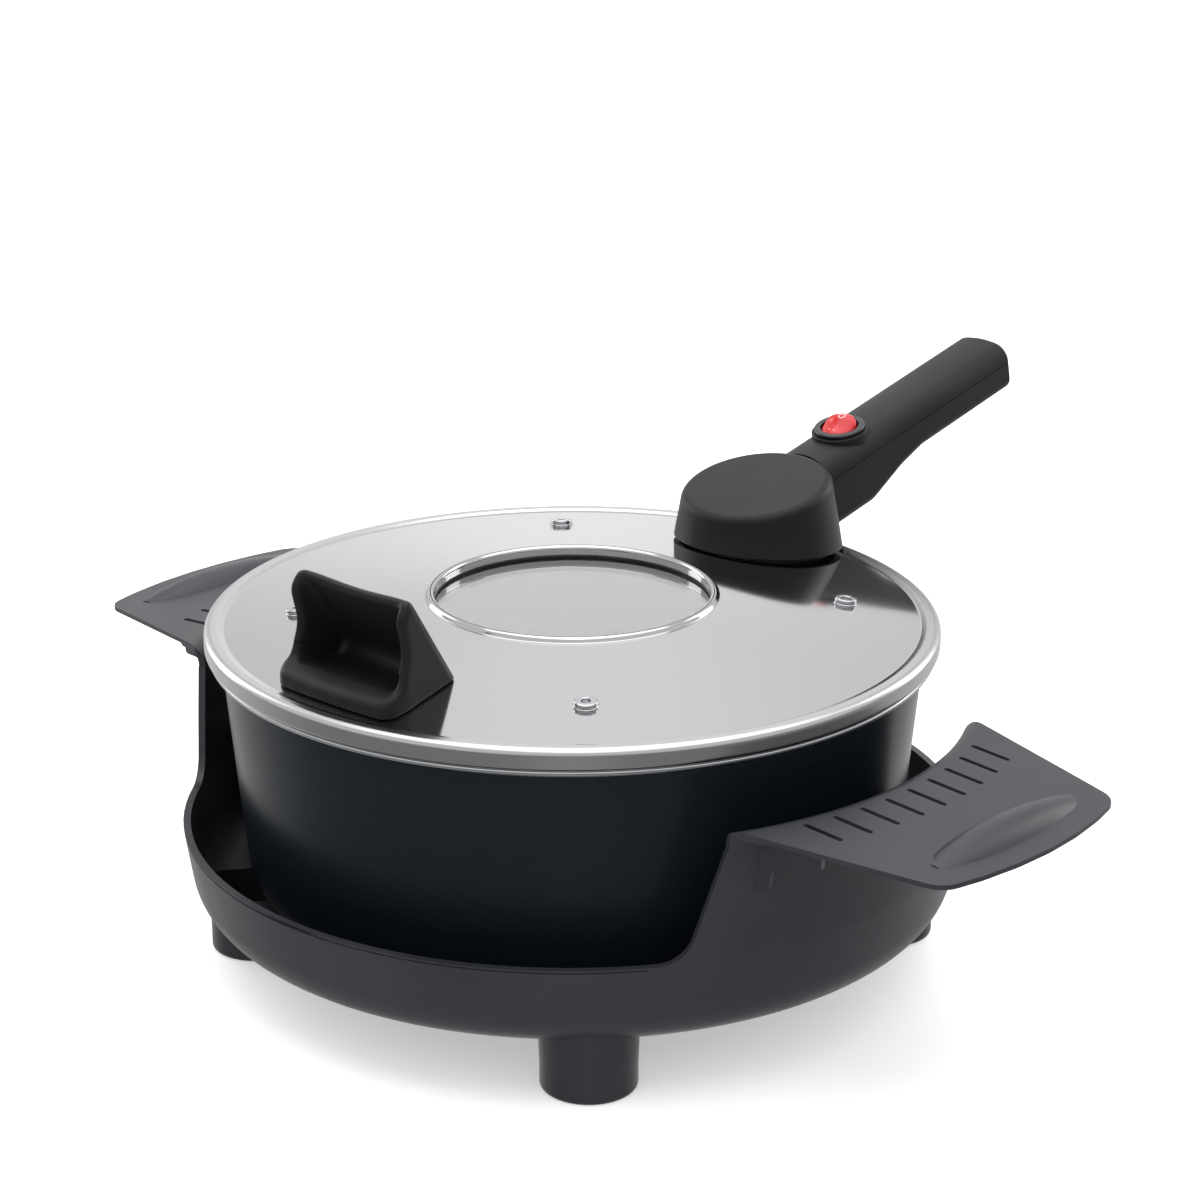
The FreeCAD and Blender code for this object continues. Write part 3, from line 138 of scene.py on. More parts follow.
def makeTurnTree():
    # turns a section drawn in the XZ plane about the Z axis
    tree, given, result = newTree("turnSection", [
        ("Facets", "Int", 240), ("Circle Radius", "Float", 0.1), ("Shift", "Vector", None),
        ("Finish", "Material", None)])
    new = tree.nodes.new
    place = new("GeometryNodeTransform")
    place.inputs["Rotation"].default_value = (math.pi / 2, 0, 0)
    section = new("GeometryNodeMeshToCurve")
    circle = new("GeometryNodeCurvePrimitiveCircle")
    sweep = new("GeometryNodeCurveToMesh")
    weld = new("GeometryNodeMergeByDistance")
    weld.inputs["Distance"].default_value = weldWithin["turned"]
    smooth = new("GeometryNodeSetShadeSmooth")
    real = new("GeometryNodeRealizeInstances")
    finish = new("GeometryNodeSetMaterial")
    link = tree.links.new
    link(given.outputs["Geometry"], place.inputs["Geometry"])
    link(given.outputs["Shift"], place.inputs["Translation"])
    link(place.outputs[0], section.inputs["Mesh"])
    link(given.outputs["Facets"], circle.inputs["Resolution"])
    link(given.outputs["Circle Radius"], circle.inputs["Radius"])
    link(circle.outputs["Curve"], sweep.inputs["Curve"])
    link(section.outputs[0], sweep.inputs["Profile Curve"])
    link(sweep.outputs[0], weld.inputs["Geometry"])
    link(weld.outputs[0], smooth.inputs["Geometry"])
    link(smooth.outputs[0], real.inputs["Geometry"])
    link(real.outputs[0], finish.inputs["Geometry"])
    link(given.outputs["Finish"], finish.inputs["Material"])
    link(finish.outputs[0], result.inputs["Geometry"])
    return tree


def makeRingTree():
    # copies the given piece round the Z axis, a fixed number of times
    tree, given, result = newTree("ringOfCopies", [
        ("Count", "Int", 4), ("First Angle", "Float", 0.0), ("Step Angle", "Float", math.pi / 2),
        ("Finish", "Material", None)])
    new = tree.nodes.new
    points = new("GeometryNodePoints")
    index = new("GeometryNodeInputIndex")
    angle = new("ShaderNodeMath")
    angle.operation = "MULTIPLY_ADD"
    turn = new("ShaderNodeCombineXYZ")
    copies = new("GeometryNodeInstanceOnPoints")
    real = new("GeometryNodeRealizeInstances")
    finish = new("GeometryNodeSetMaterial")
    link = tree.links.new
    link(given.outputs["Count"], points.inputs["Count"])
    link(index.outputs[0], angle.inputs[0])
    link(given.outputs["Step Angle"], angle.inputs[1])
    link(given.outputs["First Angle"], angle.inputs[2])
    link(angle.outputs[0], turn.inputs["Z"])
    link(points.outputs[0], copies.inputs["Points"])
    link(given.outputs["Geometry"], copies.inputs["Instance"])
    link(turn.outputs[0], copies.inputs["Rotation"])
    link(copies.outputs[0], real.inputs["Geometry"])
    link(real.outputs[0], finish.inputs["Geometry"])
    link(given.outputs["Finish"], finish.inputs["Material"])
    link(finish.outputs[0], result.inputs["Geometry"])
    return tree


def addObject(name, mesh):
    piece = bpy.data.objects.new(name, mesh)
    bpy.context.scene.collection.objects.link(piece)
    return piece


def lineMesh(name, points, closed):
    mesh = bpy.data.meshes.new(name)
    count = len(points)
    edges = [(i, i + 1) for i in range(count - 1)] + ([(count - 1, 0)] if closed else [])
    mesh.from_pydata([(x * mm, 0, z * mm) for x, z in points], edges, [])
    return mesh


def applyModifiers(piece):
    seen = bpy.context.evaluated_depsgraph_get()
    plain = bpy.data.meshes.new_from_object(piece.evaluated_get(seen), depsgraph=seen)
    piece.modifiers.clear()
    piece.data = plain
    return piece


def builtBy(tree, name, mesh, values):
    # runs a tree on a mesh and keeps the plain mesh that comes out
    piece = addObject(name, mesh)
    step = piece.modifiers.new("Build", "NODES")
    step.node_group = tree
    for item in tree.interface.items_tree:
        if item.in_out == "INPUT" and item.name in values:
            step[item.identifier] = values[item.name]
    return applyModifiers(piece)


def outward(piece):
    work = bmesh.new()
    work.from_mesh(piece.data)
    bmesh.ops.remove_doubles(work, verts=work.verts, dist=weldWithin["finished"])
    bmesh.ops.recalc_face_normals(work, faces=work.faces)
    work.to_mesh(piece.data)
    work.free()
    for polygon in piece.data.polygons:
        polygon.use_smooth = True
    return piece


def turned(name, section, finish, closed, facets, lift=0.0):
    # section in millimetres, as radius and height above lift
    points = [(r, z + lift) for r, z in section]
    # the sweep follows a circle of this radius, so the section is moved in by as much
    circle = 0.1
    piece = builtBy(turnTree, name, lineMesh(name, points, closed), {
        "Facets": facets, "Circle Radius": circle, "Shift": (-circle, 0, 0), "Finish": finish})
    return outward(piece)


def bevelled(piece, width, sharpAbove, segments):
    # a bevel of the given width in millimetres on each edge sharper than the angle in degrees
    edge = piece.modifiers.new("Edge", "BEVEL")
    edge.width = width * mm
    edge.segments = segments
    edge.limit_method = "ANGLE"
    edge.angle_limit = math.radians(sharpAbove)
    return edge


softening = {"flatWithin": 0.6, "sharpAbove": 30.0, "segments": 2, "weight": 60}


def softened(name, node, finish, width):
    # a merged copy of a CAD node with its sharp edges rounded
    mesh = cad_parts[node].data.copy()
    mesh.name = name
    work = bmesh.new()
    work.from_mesh(mesh)
    bmesh.ops.remove_doubles(work, verts=work.verts, dist=weldWithin["cadCopy"])
    bmesh.ops.dissolve_limit(
        work, angle_limit=math.radians(softening["flatWithin"]), verts=work.verts, edges=work.edges)
    bmesh.ops.recalc_face_normals(work, faces=work.faces)
    work.to_mesh(mesh)
    work.free()
    mesh.materials.clear()
    mesh.materials.append(finish)
    for polygon in mesh.polygons:
        polygon.material_index = 0
        polygon.use_smooth = True
    piece = addObject(name, mesh)
    edge = bevelled(piece, width, softening["sharpAbove"], softening["segments"])
    edge.miter_outer = "MITER_ARC"
    weigh = piece.modifiers.new("Weigh", "WEIGHTED_NORMAL")
    weigh.keep_sharp = True
    weigh.weight = softening["weight"]
    return applyModifiers(piece)


turnTree = makeTurnTree()
ringTree = makeRingTree()


# Sculpted forms: a field of distances in millimetres, negative inside

sculpting = {"probe": 0.02, "turns": 3, "leastSlope": 0.2}


def polygonField(points, a, b):
    # signed distance from the points (a, b) to a closed outline
    outline = np.array(points, dtype=float)
    best = np.full(a.shape, 1e9)
    inside = np.zeros(a.shape, dtype=bool)
    for i in range(len(outline)):
        start = outline[i]
        end = outline[(i + 1) % len(outline)]
        run = end - start
        share = ((a - start[0]) * run[0] + (b - start[1]) * run[1]) / max(run @ run, 1e-12)
        share = np.clip(share, 0, 1)
        gap = np.hypot(a - start[0] - share * run[0], b - start[1] - share * run[1])
        best = np.minimum(best, gap)
        crosses = (start[1] > b) != (end[1] > b)
        if run[1]:
            inside ^= crosses & (a < start[0] + run[0] * (b - start[1]) / run[1])
    return np.where(inside, -best, best)


def softMax(a, b, blend):
    # the larger of two fields, with the corner between them rounded over
    over = np.clip(0.5 + 0.5 * (a - b) / blend, 0, 1)
    return b + (a - b) * over + blend * over * (1 - over)


def sculpted(name, field, low, high, step, finish):
    # a closed mesh on the field's zero surface, one point to each cell that it passes through
    counts = [int(math.ceil((high[k] - low[k]) / step)) + 1 for k in range(3)]
    axes = [low[k] + step * np.arange(counts[k]) for k in range(3)]
    x, y, z = np.meshgrid(*axes, indexing="ij")
    value = field(x, y, z)
    cells = [n - 1 for n in counts]
    total = np.zeros((*cells, 3))
    hits = np.zeros(cells)
    corner = [(i, j, k) for i in (0, 1) for j in (0, 1) for k in (0, 1)]
    grids = (x, y, z)

    def part(grid, c):
        return grid[c[0]:c[0] + cells[0], c[1]:c[1] + cells[1], c[2]:c[2] + cells[2]]

    for one in corner:
        for axis in range(3):
            if one[axis]:
                continue
            two = tuple(1 if k == axis else one[k] for k in range(3))
            first = part(value, one)
            second = part(value, two)
            cross = (first < 0) != (second < 0)
            share = np.where(cross, first / np.where(first == second, 1, first - second), 0)
            for k in range(3):
                place = part(grids[k], one) + share * (step if k == axis else 0)
                total[..., k] += np.where(cross, place, 0)
            hits += cross
    active = hits > 0
    number = np.full(cells, -1)
    number[active] = np.arange(active.sum())
    points = total[active] / hits[active][:, None]
    # each point is then moved onto the surface, along the field's slope
    probe = sculpting["probe"]
    for turn in range(sculpting["turns"]):
        here = field(*points.T)
        slope = np.stack([
            field(*(points + probe * np.eye(3)[k]).T) - field(*(points - probe * np.eye(3)[k]).T)
            for k in range(3)], axis=1) / (2 * probe)
        steep = np.maximum((slope ** 2).sum(axis=1), sculpting["leastSlope"])
        points = points - np.clip(here / steep, -step, step)[:, None] * slope
    faces = []
    for axis in range(3):
        u, v = [k for k in range(3) if k != axis]
        first = [slice(1, -1)] * 3
        second = [slice(1, -1)] * 3
        first[axis] = slice(0, -1)
        second[axis] = slice(1, None)
        cross = (value[tuple(first)] < 0) != (value[tuple(second)] < 0)
        where = np.argwhere(cross)
        offset = np.ones(3, dtype=int)
        offset[axis] = 0
        base = where + offset
        ring = []
        for du, dv in ((0, 0), (1, 0), (1, 1), (0, 1)):
            cell = base.copy()
            cell[:, u] -= du
            cell[:, v] -= dv
            ring.append(number[cell[:, 0], cell[:, 1], cell[:, 2]])
        faces.append(np.stack(ring, axis=1))
    faces = np.concatenate(faces)
    faces = faces[(faces >= 0).all(axis=1)]
    mesh = bpy.data.meshes.new(name)
    mesh.from_pydata((points * mm).tolist(), [], faces.tolist())
    mesh.materials.append(finish)
    return outward(addObject(name, mesh))


# The handle's own frame: x across, y along it, z square to its split line, in millimetres

handleFrame = {"rise": 12.0, "root": 150.0, "level": 33.9}


def toHandle(piece):
    level = handleFrame["level"] + seats["lidSeat"]
    place = Matrix.Translation((0, handleFrame["root"] * mm, level * mm))
    piece.data.transform(place @ Matrix.Rotation(math.radians(handleFrame["rise"]), 4, "X"))
    piece.data.update()


# Materials

def newFinish(name, colour, roughness, metallic=0.0, **extra):
    material = bpy.data.materials.new(name)
    material.use_nodes = True
    shader = material.node_tree.nodes["Principled BSDF"]
    shader.inputs["Base Color"].default_value = (*colour, 1)
    shader.inputs["Roughness"].default_value = roughness
    shader.inputs["Metallic"].default_value = metallic
    for label, value in extra.items():
        shader.inputs[label.replace("_", " ")].default_value = value
    return material, shader


def coords(material, scale=(1, 1, 1)):
    nodes = material.node_tree.nodes
    source = nodes.new("ShaderNodeTexCoord")
    mapping = nodes.new("ShaderNodeMapping")
    mapping.inputs["Scale"].default_value = scale
    material.node_tree.links.new(source.outputs["Object"], mapping.inputs["Vector"])
    return mapping.outputs["Vector"]


def noiseOn(material, vector, scale, detail=3.0, roughness=0.55, distortion=0.0):
    noise = material.node_tree.nodes.new("ShaderNodeTexNoise")
    noise.inputs["Scale"].default_value = scale
    noise.inputs["Detail"].default_value = detail
    noise.inputs["Roughness"].default_value = roughness
    noise.inputs["Distortion"].default_value = distortion
    material.node_tree.links.new(vector, noise.inputs["Vector"])
    return noise.outputs["Fac"]


def spread(material, value, low, high, fromLow=0.3, fromHigh=0.7):
    node = material.node_tree.nodes.new("ShaderNodeMapRange")
    node.inputs["From Min"].default_value = fromLow
    node.inputs["From Max"].default_value = fromHigh
    node.inputs["To Min"].default_value = low
    node.inputs["To Max"].default_value = high
    material.node_tree.links.new(value, node.inputs["Value"])
    return node.outputs["Result"]


def tint(material, value, dark, light):
    node = material.node_tree.nodes.new("ShaderNodeMix")
    node.data_type = "RGBA"
    node.inputs["A"].default_value = (*dark, 1)
    node.inputs["B"].default_value = (*light, 1)
    material.node_tree.links.new(value, node.inputs["Factor"])
    return node.outputs["Result"]


def relief(material, shader, height, strength, distance):
    node = material.node_tree.nodes.new("ShaderNodeBump")
    node.inputs["Strength"].default_value = strength
    node.inputs["Distance"].default_value = distance * mm
    links = material.node_tree.links
    links.new(height, node.inputs["Height"])
    links.new(node.outputs["Normal"], shader.inputs["Normal"])


def fromAxis(material):
    # distance from the Z axis
    nodes = material.node_tree.nodes
    links = material.node_tree.links
    flat = nodes.new("ShaderNodeVectorMath")
    flat.operation = "MULTIPLY"
    flat.inputs[1].default_value = (1, 1, 0)
    length = nodes.new("ShaderNodeVectorMath")
    length.operation = "LENGTH"
    links.new(coords(material), flat.inputs[0])
    links.new(flat.outputs["Vector"], length.inputs[0])
    return length.outputs["Value"]


def moulded(name, colour, roughness, grain, strength, depth, gloss=0.5):
    # moulded plastic: a fine spark-eroded grain and slightly uneven gloss
    uneven = 0.06
    material, shader = newFinish(name, colour, roughness, Specular_IOR_Level=gloss)
    links = material.node_tree.links
    vector = coords(material)
    patches = noiseOn(material, vector, 18.0, 2.0)
    fine = noiseOn(material, vector, grain, 4.0, 0.6)
    lighter = tuple(min(1, c * 1.25 + 0.002) for c in colour)
    tinted = tint(material, spread(material, patches, 0, 1), colour, lighter)
    links.new(tinted, shader.inputs["Base Color"])
    sheen = spread(material, patches, roughness - uneven, roughness + uneven)
    links.new(sheen, shader.inputs["Roughness"])
    relief(material, shader, fine, strength, depth)
    return material


def coated(name, colour, roughness, flecks, gloss=0.5):
    # non-stick coating: slight orange peel, and fine flecks a little lighter than the rest
    material, shader = newFinish(name, colour, roughness, Specular_IOR_Level=gloss)
    links = material.node_tree.links
    vector = coords(material)
    cells = material.node_tree.nodes.new("ShaderNodeTexVoronoi")
    cells.inputs["Scale"].default_value = 1500.0
    links.new(vector, cells.inputs["Vector"])
    grey = material.node_tree.nodes.new("ShaderNodeSeparateColor")
    links.new(cells.outputs["Color"], grey.inputs["Color"])
    # one cell in ten is a fleck
    chosen = spread(material, grey.outputs["Red"], 0, 1, 0.9, 1.0)
    bright = tuple(min(1, c + flecks) for c in colour)
    links.new(tint(material, chosen, colour, bright), shader.inputs["Base Color"])
    peel = noiseOn(material, vector, 260.0, 2.0)
    cloud = noiseOn(material, vector, 9.0, 2.0)
    links.new(spread(material, cloud, roughness - 0.03, roughness + 0.04), shader.inputs["Roughness"])
    relief(material, shader, peel, 0.06, 0.05)
    return material


def turnedMetal(
        name, colour, roughness, anisotropic, grooves=2600.0, depth=0.002, strength=0.12, rim=0):
    # metal polished or turned in rings round the Z axis, and rougher by rim at the lid's edge
    material, shader = newFinish(name, colour, roughness, 1.0, Anisotropic=anisotropic)
    nodes = material.node_tree.nodes
    links = material.node_tree.links
    tangent = nodes.new("ShaderNodeTangent")
    tangent.direction_type = "RADIAL"
    tangent.axis = "Z"
    links.new(tangent.outputs["Tangent"], shader.inputs["Tangent"])
    radius = fromAxis(material)
    rings = nodes.new("ShaderNodeTexNoise")
    rings.noise_dimensions = "1D"
    rings.inputs["Scale"].default_value = grooves
    rings.inputs["Detail"].default_value = 3.0
    links.new(radius, rings.inputs["W"])
    smear = noiseOn(material, coords(material), 14.0, 3.0)
    uneven = spread(material, smear, roughness * 0.8, roughness * 1.3)
    if rim:
        # between these radii, in metres, the polish gives way to a brushed satin
        satinFrom = 0.1405
        satinFull = 0.1445
        satin = nodes.new("ShaderNodeMath")
        satin.operation = "ADD"
        links.new(uneven, satin.inputs[0])
        links.new(spread(material, radius, 0, rim, satinFrom, satinFull), satin.inputs[1])
        uneven = satin.outputs["Value"]
    links.new(uneven, shader.inputs["Roughness"])
    relief(material, shader, rings.outputs["Fac"], strength, depth)
    return material


def plainMetal(name, colour, roughness, scale=400.0):
    # bare metal with fine wear
    material, shader = newFinish(name, colour, roughness, 1.0)
    links = material.node_tree.links
    vector = coords(material)
    wear = noiseOn(material, vector, scale, 3.0)
    links.new(spread(material, wear, roughness * 0.75, roughness * 1.3), shader.inputs["Roughness"])
    darker = tuple(c * 0.85 for c in colour)
    tinted = tint(material, spread(material, wear, 0, 1), darker, colour)
    links.new(tinted, shader.inputs["Base Color"])
    relief(material, shader, wear, 0.08, 0.02)
    return material


def clearGlass():
    material, shader = newFinish(
        "windowGlass", (0.96, 0.985, 0.98), 0.0, IOR=1.6, Transmission_Weight=1.0,
        Coat_Weight=1.0, Coat_IOR=1.6)
    smear = noiseOn(material, coords(material), 30.0, 2.0)
    material.node_tree.links.new(spread(material, smear, 0.0, 0.02), shader.inputs["Roughness"])
    return material


def litRed():
    # the rocker's clear red plastic, which glows a little
    material, shader = newFinish(
        "rockerRed", (0.52, 0.01, 0.012), 0.14, IOR=1.49, Subsurface_Weight=0.15,
        Subsurface_Radius=(0.003, 0.0004, 0.0004), Emission_Color=(0.8, 0.01, 0.01, 1),
        Emission_Strength=0.05)
    cloud = noiseOn(material, coords(material), 260.0, 2.0)
    material.node_tree.links.new(spread(material, cloud, 0.1, 0.2), shader.inputs["Roughness"])
    return material


def woolly():
    # mineral wool, with its fibres lying flat
    material, shader = newFinish("mineralWool", (0.72, 0.69, 0.6), 0.95)
    vector = coords(material, (1, 1, 4))
    fibres = noiseOn(material, vector, 700.0, 6.0, 0.75, 2.0)
    material.node_tree.links.new(
        tint(material, spread(material, fibres, 0, 1), (0.5, 0.47, 0.38), (0.82, 0.8, 0.72)),
        shader.inputs["Base Color"])
    relief(material, shader, fibres, 0.9, 0.4)
    return material


finishes = {
    "stand": moulded("standPlastic", (0.02, 0.0215, 0.0255), 0.4, 1100.0, 0.12, 0.02, 0.42),
    "handle": moulded("handlePlastic", (0.0075, 0.0075, 0.008), 0.42, 1300.0, 0.3, 0.03, 0.2),
    "base": moulded("basePlastic", (0.008, 0.008, 0.009), 0.3, 1300.0, 0.1, 0.02),
    "bezel": moulded("bezelPlastic", (0.012, 0.012, 0.013), 0.28, 2500.0, 0.08, 0.01),
    "inlet": moulded("inletPlastic", (0.012, 0.012, 0.013), 0.35, 2500.0, 0.1, 0.01),
    "rubber": moulded("gasketRubber", (0.012, 0.012, 0.013), 0.62, 1800.0, 0.2, 0.02),
    "steel": turnedMetal("polishedSteel", (0.5, 0.502, 0.508), 0.085, 0.4, rim=0.16),
    "outside": coated("panOutside", (0.006, 0.009, 0.0125), 0.28, 0.004, 0.18),
    "inside": coated("panInside", (0.06, 0.095, 0.135), 0.28, 0.004),
    "bare": turnedMetal("bareAluminium", (0.68, 0.69, 0.7), 0.3, 0.5, 4000.0, 0.004, 0.3),
    "dome": coated("domeCoating", (0.012, 0.0165, 0.024), 0.36, 0.01, 0.4),
    "glass": clearGlass(),
    "element": plainMetal("elementSheath", (0.16, 0.155, 0.15), 0.45),
    "shield": plainMetal("shieldSteel", (0.6, 0.61, 0.63), 0.3),
    "wool": woolly(),
    "can": plainMetal("cutoutCan", (0.7, 0.7, 0.72), 0.28),
    "ceramic": moulded("blockCeramic", (0.8, 0.78, 0.72), 0.3, 900.0, 0.05, 0.02),
    "screw": plainMetal("screwSteel", (0.66, 0.67, 0.69), 0.22, 900.0),
    "brass": plainMetal("contactBrass", (0.75, 0.6, 0.32), 0.25),
    "red": litRed(),
    "mark": moulded("rockerMark", (0.78, 0.5, 0.5), 0.35, 2000.0, 0.05, 0.01),
    "stud": plainMetal("studSteel", (0.5, 0.505, 0.515), 0.16, 900.0),
    "brown": moulded("wireBrown", (0.14, 0.055, 0.025), 0.45, 1500.0, 0.1, 0.01),
    "blue": moulded("wireBlue", (0.02, 0.09, 0.42), 0.45, 1500.0, 0.1, 0.01),
    "green": moulded("wireGreen", (0.25, 0.42, 0.03), 0.45, 1500.0, 0.1, 0.01),
}
nodeFinish = {
    "stand_frame": "stand", "pan_bowl": "outside", "lid_cover": "steel", "lid_dome": "dome",
    "window_glass": "glass", "window_gasket": "rubber", "heating_element": "element",
    "element_clips": "shield", "heat_shield": "shield", "insulation_ring": "wool",
    "thermal_cutout": "can", "terminal_block": "ceramic", "lid_studs": "screw",
    "stud_washers": "screw", "stud_spacers": "screw", "stud_nuts": "screw",
    "head_housing": "handle", "head_base": "base", "head_screws": "screw",
    "handle_upper": "handle", "handle_lower": "handle", "handle_screws": "screw",
    "finger_grip": "handle", "grip_screws": "screw", "switch_bezel": "bezel",
    "switch_body": "bezel", "switch_terminals": "brass", "switch_rocker": "red",
    "mains_inlet": "inlet", "inlet_pins": "brass", "live_wires": "brown",
    "neutral_wires": "blue", "earth_wire": "green"}
for node, finish in nodeFinish.items():
    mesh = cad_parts[node].data
    mesh.materials.clear()
    mesh.materials.append(finishes[finish])
print("materials made")


# Pan

panSizes = {"wall": 2.0, "depth": 105.0, "rim": 148.0, "neck": 142.0, "base": 132.3,
            "corner": 16.5, "flare": 4.0, "edge": 0.85, "bareDepth": 4.0, "bareInset": 1.2}


def makePan():
    half = panSizes["wall"] / 2
    top = panSizes["depth"] - half
    middle = [(0, half), (panSizes["base"], half, panSizes["corner"]),
              (panSizes["neck"], top, panSizes["flare"]), (panSizes["rim"], top)]
    upper = offsetPath(middle, half)
    lower = offsetPath(middle, -half)
    edge = panSizes["edge"]
    ring = upper[:-1] + [(upper[-1][0], upper[-1][1], edge), (lower[-1][0], lower[-1][1], edge)]
    section = roundedPath(ring + lower[-2::-1], False, 5.0)
    section[0] = (0, section[0][1])
    section[-1] = (0, section[-1][1])
    pan = turned("panBody", section, finishes["outside"], False, 288, seats["panBase"])
    mesh = pan.data
    mesh.materials.append(finishes["inside"])
    mesh.materials.append(finishes["bare"])
    # the flared rim is bare metal, and what faces up or inwards has the inside's coating
    bareFrom = (seats["panBase"] + panSizes["depth"] - panSizes["bareDepth"]) * mm
    bareBeyond = (panSizes["neck"] - panSizes["bareInset"]) * mm
    for polygon in mesh.polygons:
        centre = polygon.center
        normal = polygon.normal
        if centre.z > bareFrom and math.hypot(centre.x, centre.y) > bareBeyond:
            polygon.material_index = 2
        elif normal.z > 0.02 or normal.x * centre.x + normal.y * centre.y < 0:
            polygon.material_index = 1
    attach(pan, "pan")
    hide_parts("pan_bowl")


makePan()
print("pan made")


# Lid cover, dome, glass and gasket

coverSizes = {"sheet": 1.0, "edge": 0.3, "radius": 149.5, "rim": 9.1, "return": 143.2,
              "groove": 141.5, "grooveOuter": 144.0, "grooveHeight": 7.8, "slope": 6.7,
              "bead": 19.9, "beadOuter": 59.4, "window": 56.0, "bend": 2.0, "rimBend": 2.6,
              "beadBend": 1.1}
domeSizes = {"sheet": 1.2, "edge": 0.35, "depth": 26.0, "radius": 138.4, "base": 135.6,
             "corner": 18.0, "neckFoot": 67.0, "footBend": 7.0, "neck": 63.2, "neckLip": 57.5,
             "neckBend": 1.5, "flange": 146.8, "flangeBend": 2.5}
glassSizes = {"radius": 60.0, "thickness": 4.0, "gasket": 62.0, "lip": 1.1, "drop": 0.8,
              "edge": 0.8, "sealEdge": 0.4, "grooveEdge": 0.2, "sealGap": 0.1}


def coverHeight(radius):
    slope = math.radians(coverSizes["slope"])
    middle = coverSizes["grooveHeight"] + (coverSizes["groove"] - radius) * math.tan(slope)
    return middle + coverSizes["sheet"] / 2 / math.cos(slope)


def underCover(radius):
    return coverHeight(radius) - coverSizes["sheet"] / math.cos(math.radians(coverSizes["slope"]))


gasketTop = underCover(glassSizes["gasket"]) - glassSizes["drop"]
glassLow = gasketTop - glassSizes["lip"] - glassSizes["thickness"]


def makeCover():
    c = coverSizes
    half = c["sheet"] / 2
    cone = c["grooveHeight"] + (c["groove"] - c["beadOuter"]) * math.tan(math.radians(c["slope"]))
    # from the rim's inner lip, out and over the rim, up the cone and down into the window's well
    middle = [
        (c["return"], half), (c["radius"] - half, half, c["bend"]),
        (c["radius"] - half, c["rim"] - half, c["rimBend"]),
        (c["grooveOuter"], c["rim"] - half, c["bend"]), (c["groove"], c["grooveHeight"], c["bend"]),
        (c["beadOuter"], cone, 1.0), (c["beadOuter"] - 1, c["bead"] - half, c["beadBend"]),
        (c["window"] + half, c["bead"] - half, c["beadBend"]), (c["window"] + half, gasketTop)]
    section = sheetLoop(middle, c["sheet"], c["edge"])
    cover = turned("coverSheet", section, finishes["steel"], True, 360, seats["lidSeat"])
    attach(cover, "lid")
    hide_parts("lid_cover")


def makeDome():
    d = domeSizes
    half = d["sheet"] / 2
    flange = coverSizes["sheet"] + half
    floor = half - d["depth"]
    neckTop = glassLow - glassSizes["lip"] - half
    middle = [(d["flange"], flange), (d["radius"], flange, d["flangeBend"]),
              (d["base"], floor, d["corner"]), (d["neckFoot"], floor, d["footBend"]),
              (d["neck"], neckTop, d["neckBend"]), (d["neckLip"], neckTop)]
    section = sheetLoop(middle, d["sheet"], d["edge"])
    dome = turned("domeShell", section, finishes["dome"], True, 288, seats["lidSeat"])
    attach(dome, "lid")
    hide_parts("lid_dome")


def makeWindow():
    g = glassSizes
    high = glassLow + g["thickness"]
    edge = g["edge"]
    rim = g["radius"]
    section = roundedPath([(0, glassLow), (rim, glassLow, edge), (rim, high, edge), (0, high)])
    glass = turned("windowPane", section, finishes["glass"], False, 192, seats["lidSeat"])
    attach(glass, "lid")
    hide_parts("window_glass")
    low = glassLow - g["lip"]
    inner = coverSizes["window"]
    outer = g["gasket"]
    groove = g["radius"] + g["sealGap"]
    edge = g["sealEdge"]
    dent = g["grooveEdge"]
    section = roundedPath([
        (inner, low, edge), (outer, low, edge), (outer, gasketTop, edge), (inner, gasketTop, edge),
        (inner, high, dent), (groove, high, dent),
        (groove, glassLow, dent), (inner, glassLow, dent)], True, 15.0, 0.05)
    gasket = turned("windowSeal", section, finishes["rubber"], True, 192, seats["lidSeat"])
    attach(gasket, "lid")
    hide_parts("window_gasket")


makeCover()
makeDome()
makeWindow()
print("lid sheets and window made")


# Finger grip, with distances from the lid's axis and heights above its seat

gripSizes = {
    "back": 88.5, "front": 138.9, "backHalf": 25.4, "half": 30.9, "widest": 125.0, "wall": 4.5,
    "top": 54.6, "dip": 3.2, "dipBlend": 2.2, "bulge": 3.4, "edgeBlend": 3.6, "hollowBlend": 3.4,
    "lipBlend": 4.6, "lipTop": 24.0, "wingBlend": 3.0, "footGap": 0.25, "footBlend": 0.9,
    "step": 0.8}
# Outlines in the plane through the lid's axis: distance from it, height, and corner radius
gripSide = [
    (88, 4), (gripSizes["front"], 4), (gripSizes["front"], 13.6, 3.0), (128.4, 19.6, 7.0),
    (124.3, 31.5, 15.0), (127.8, 46.5, 8.0), (121.4, gripSizes["top"], 3.4), (90.0, 9.0)]
gripHollow = [
    (99.8, 15.7, 6.5), (113.0, 14.7, 20.0), (128.6, 18.1, 5.0), (150.0, 16.5), (150.0, 80.0),
    (143.6, 80.0)]


def gripPlan():
    # seen from above: narrow at the back, with a bulging front
    g = gripSizes
    corner = g["front"] - g["bulge"]
    frontArc = (g["half"] - 12) * g["half"] / g["bulge"]
    side = [
        (g["backHalf"], g["back"], 3.0), (g["half"], g["widest"], 24.0), (g["half"], corner, 6.0)]
    mirrored = [(-x, y, radius) for x, y, radius in side[::-1]]
    return roundedPath(side + [(0, g["front"], frontArc)] + mirrored, True, 8.0, 0.0)


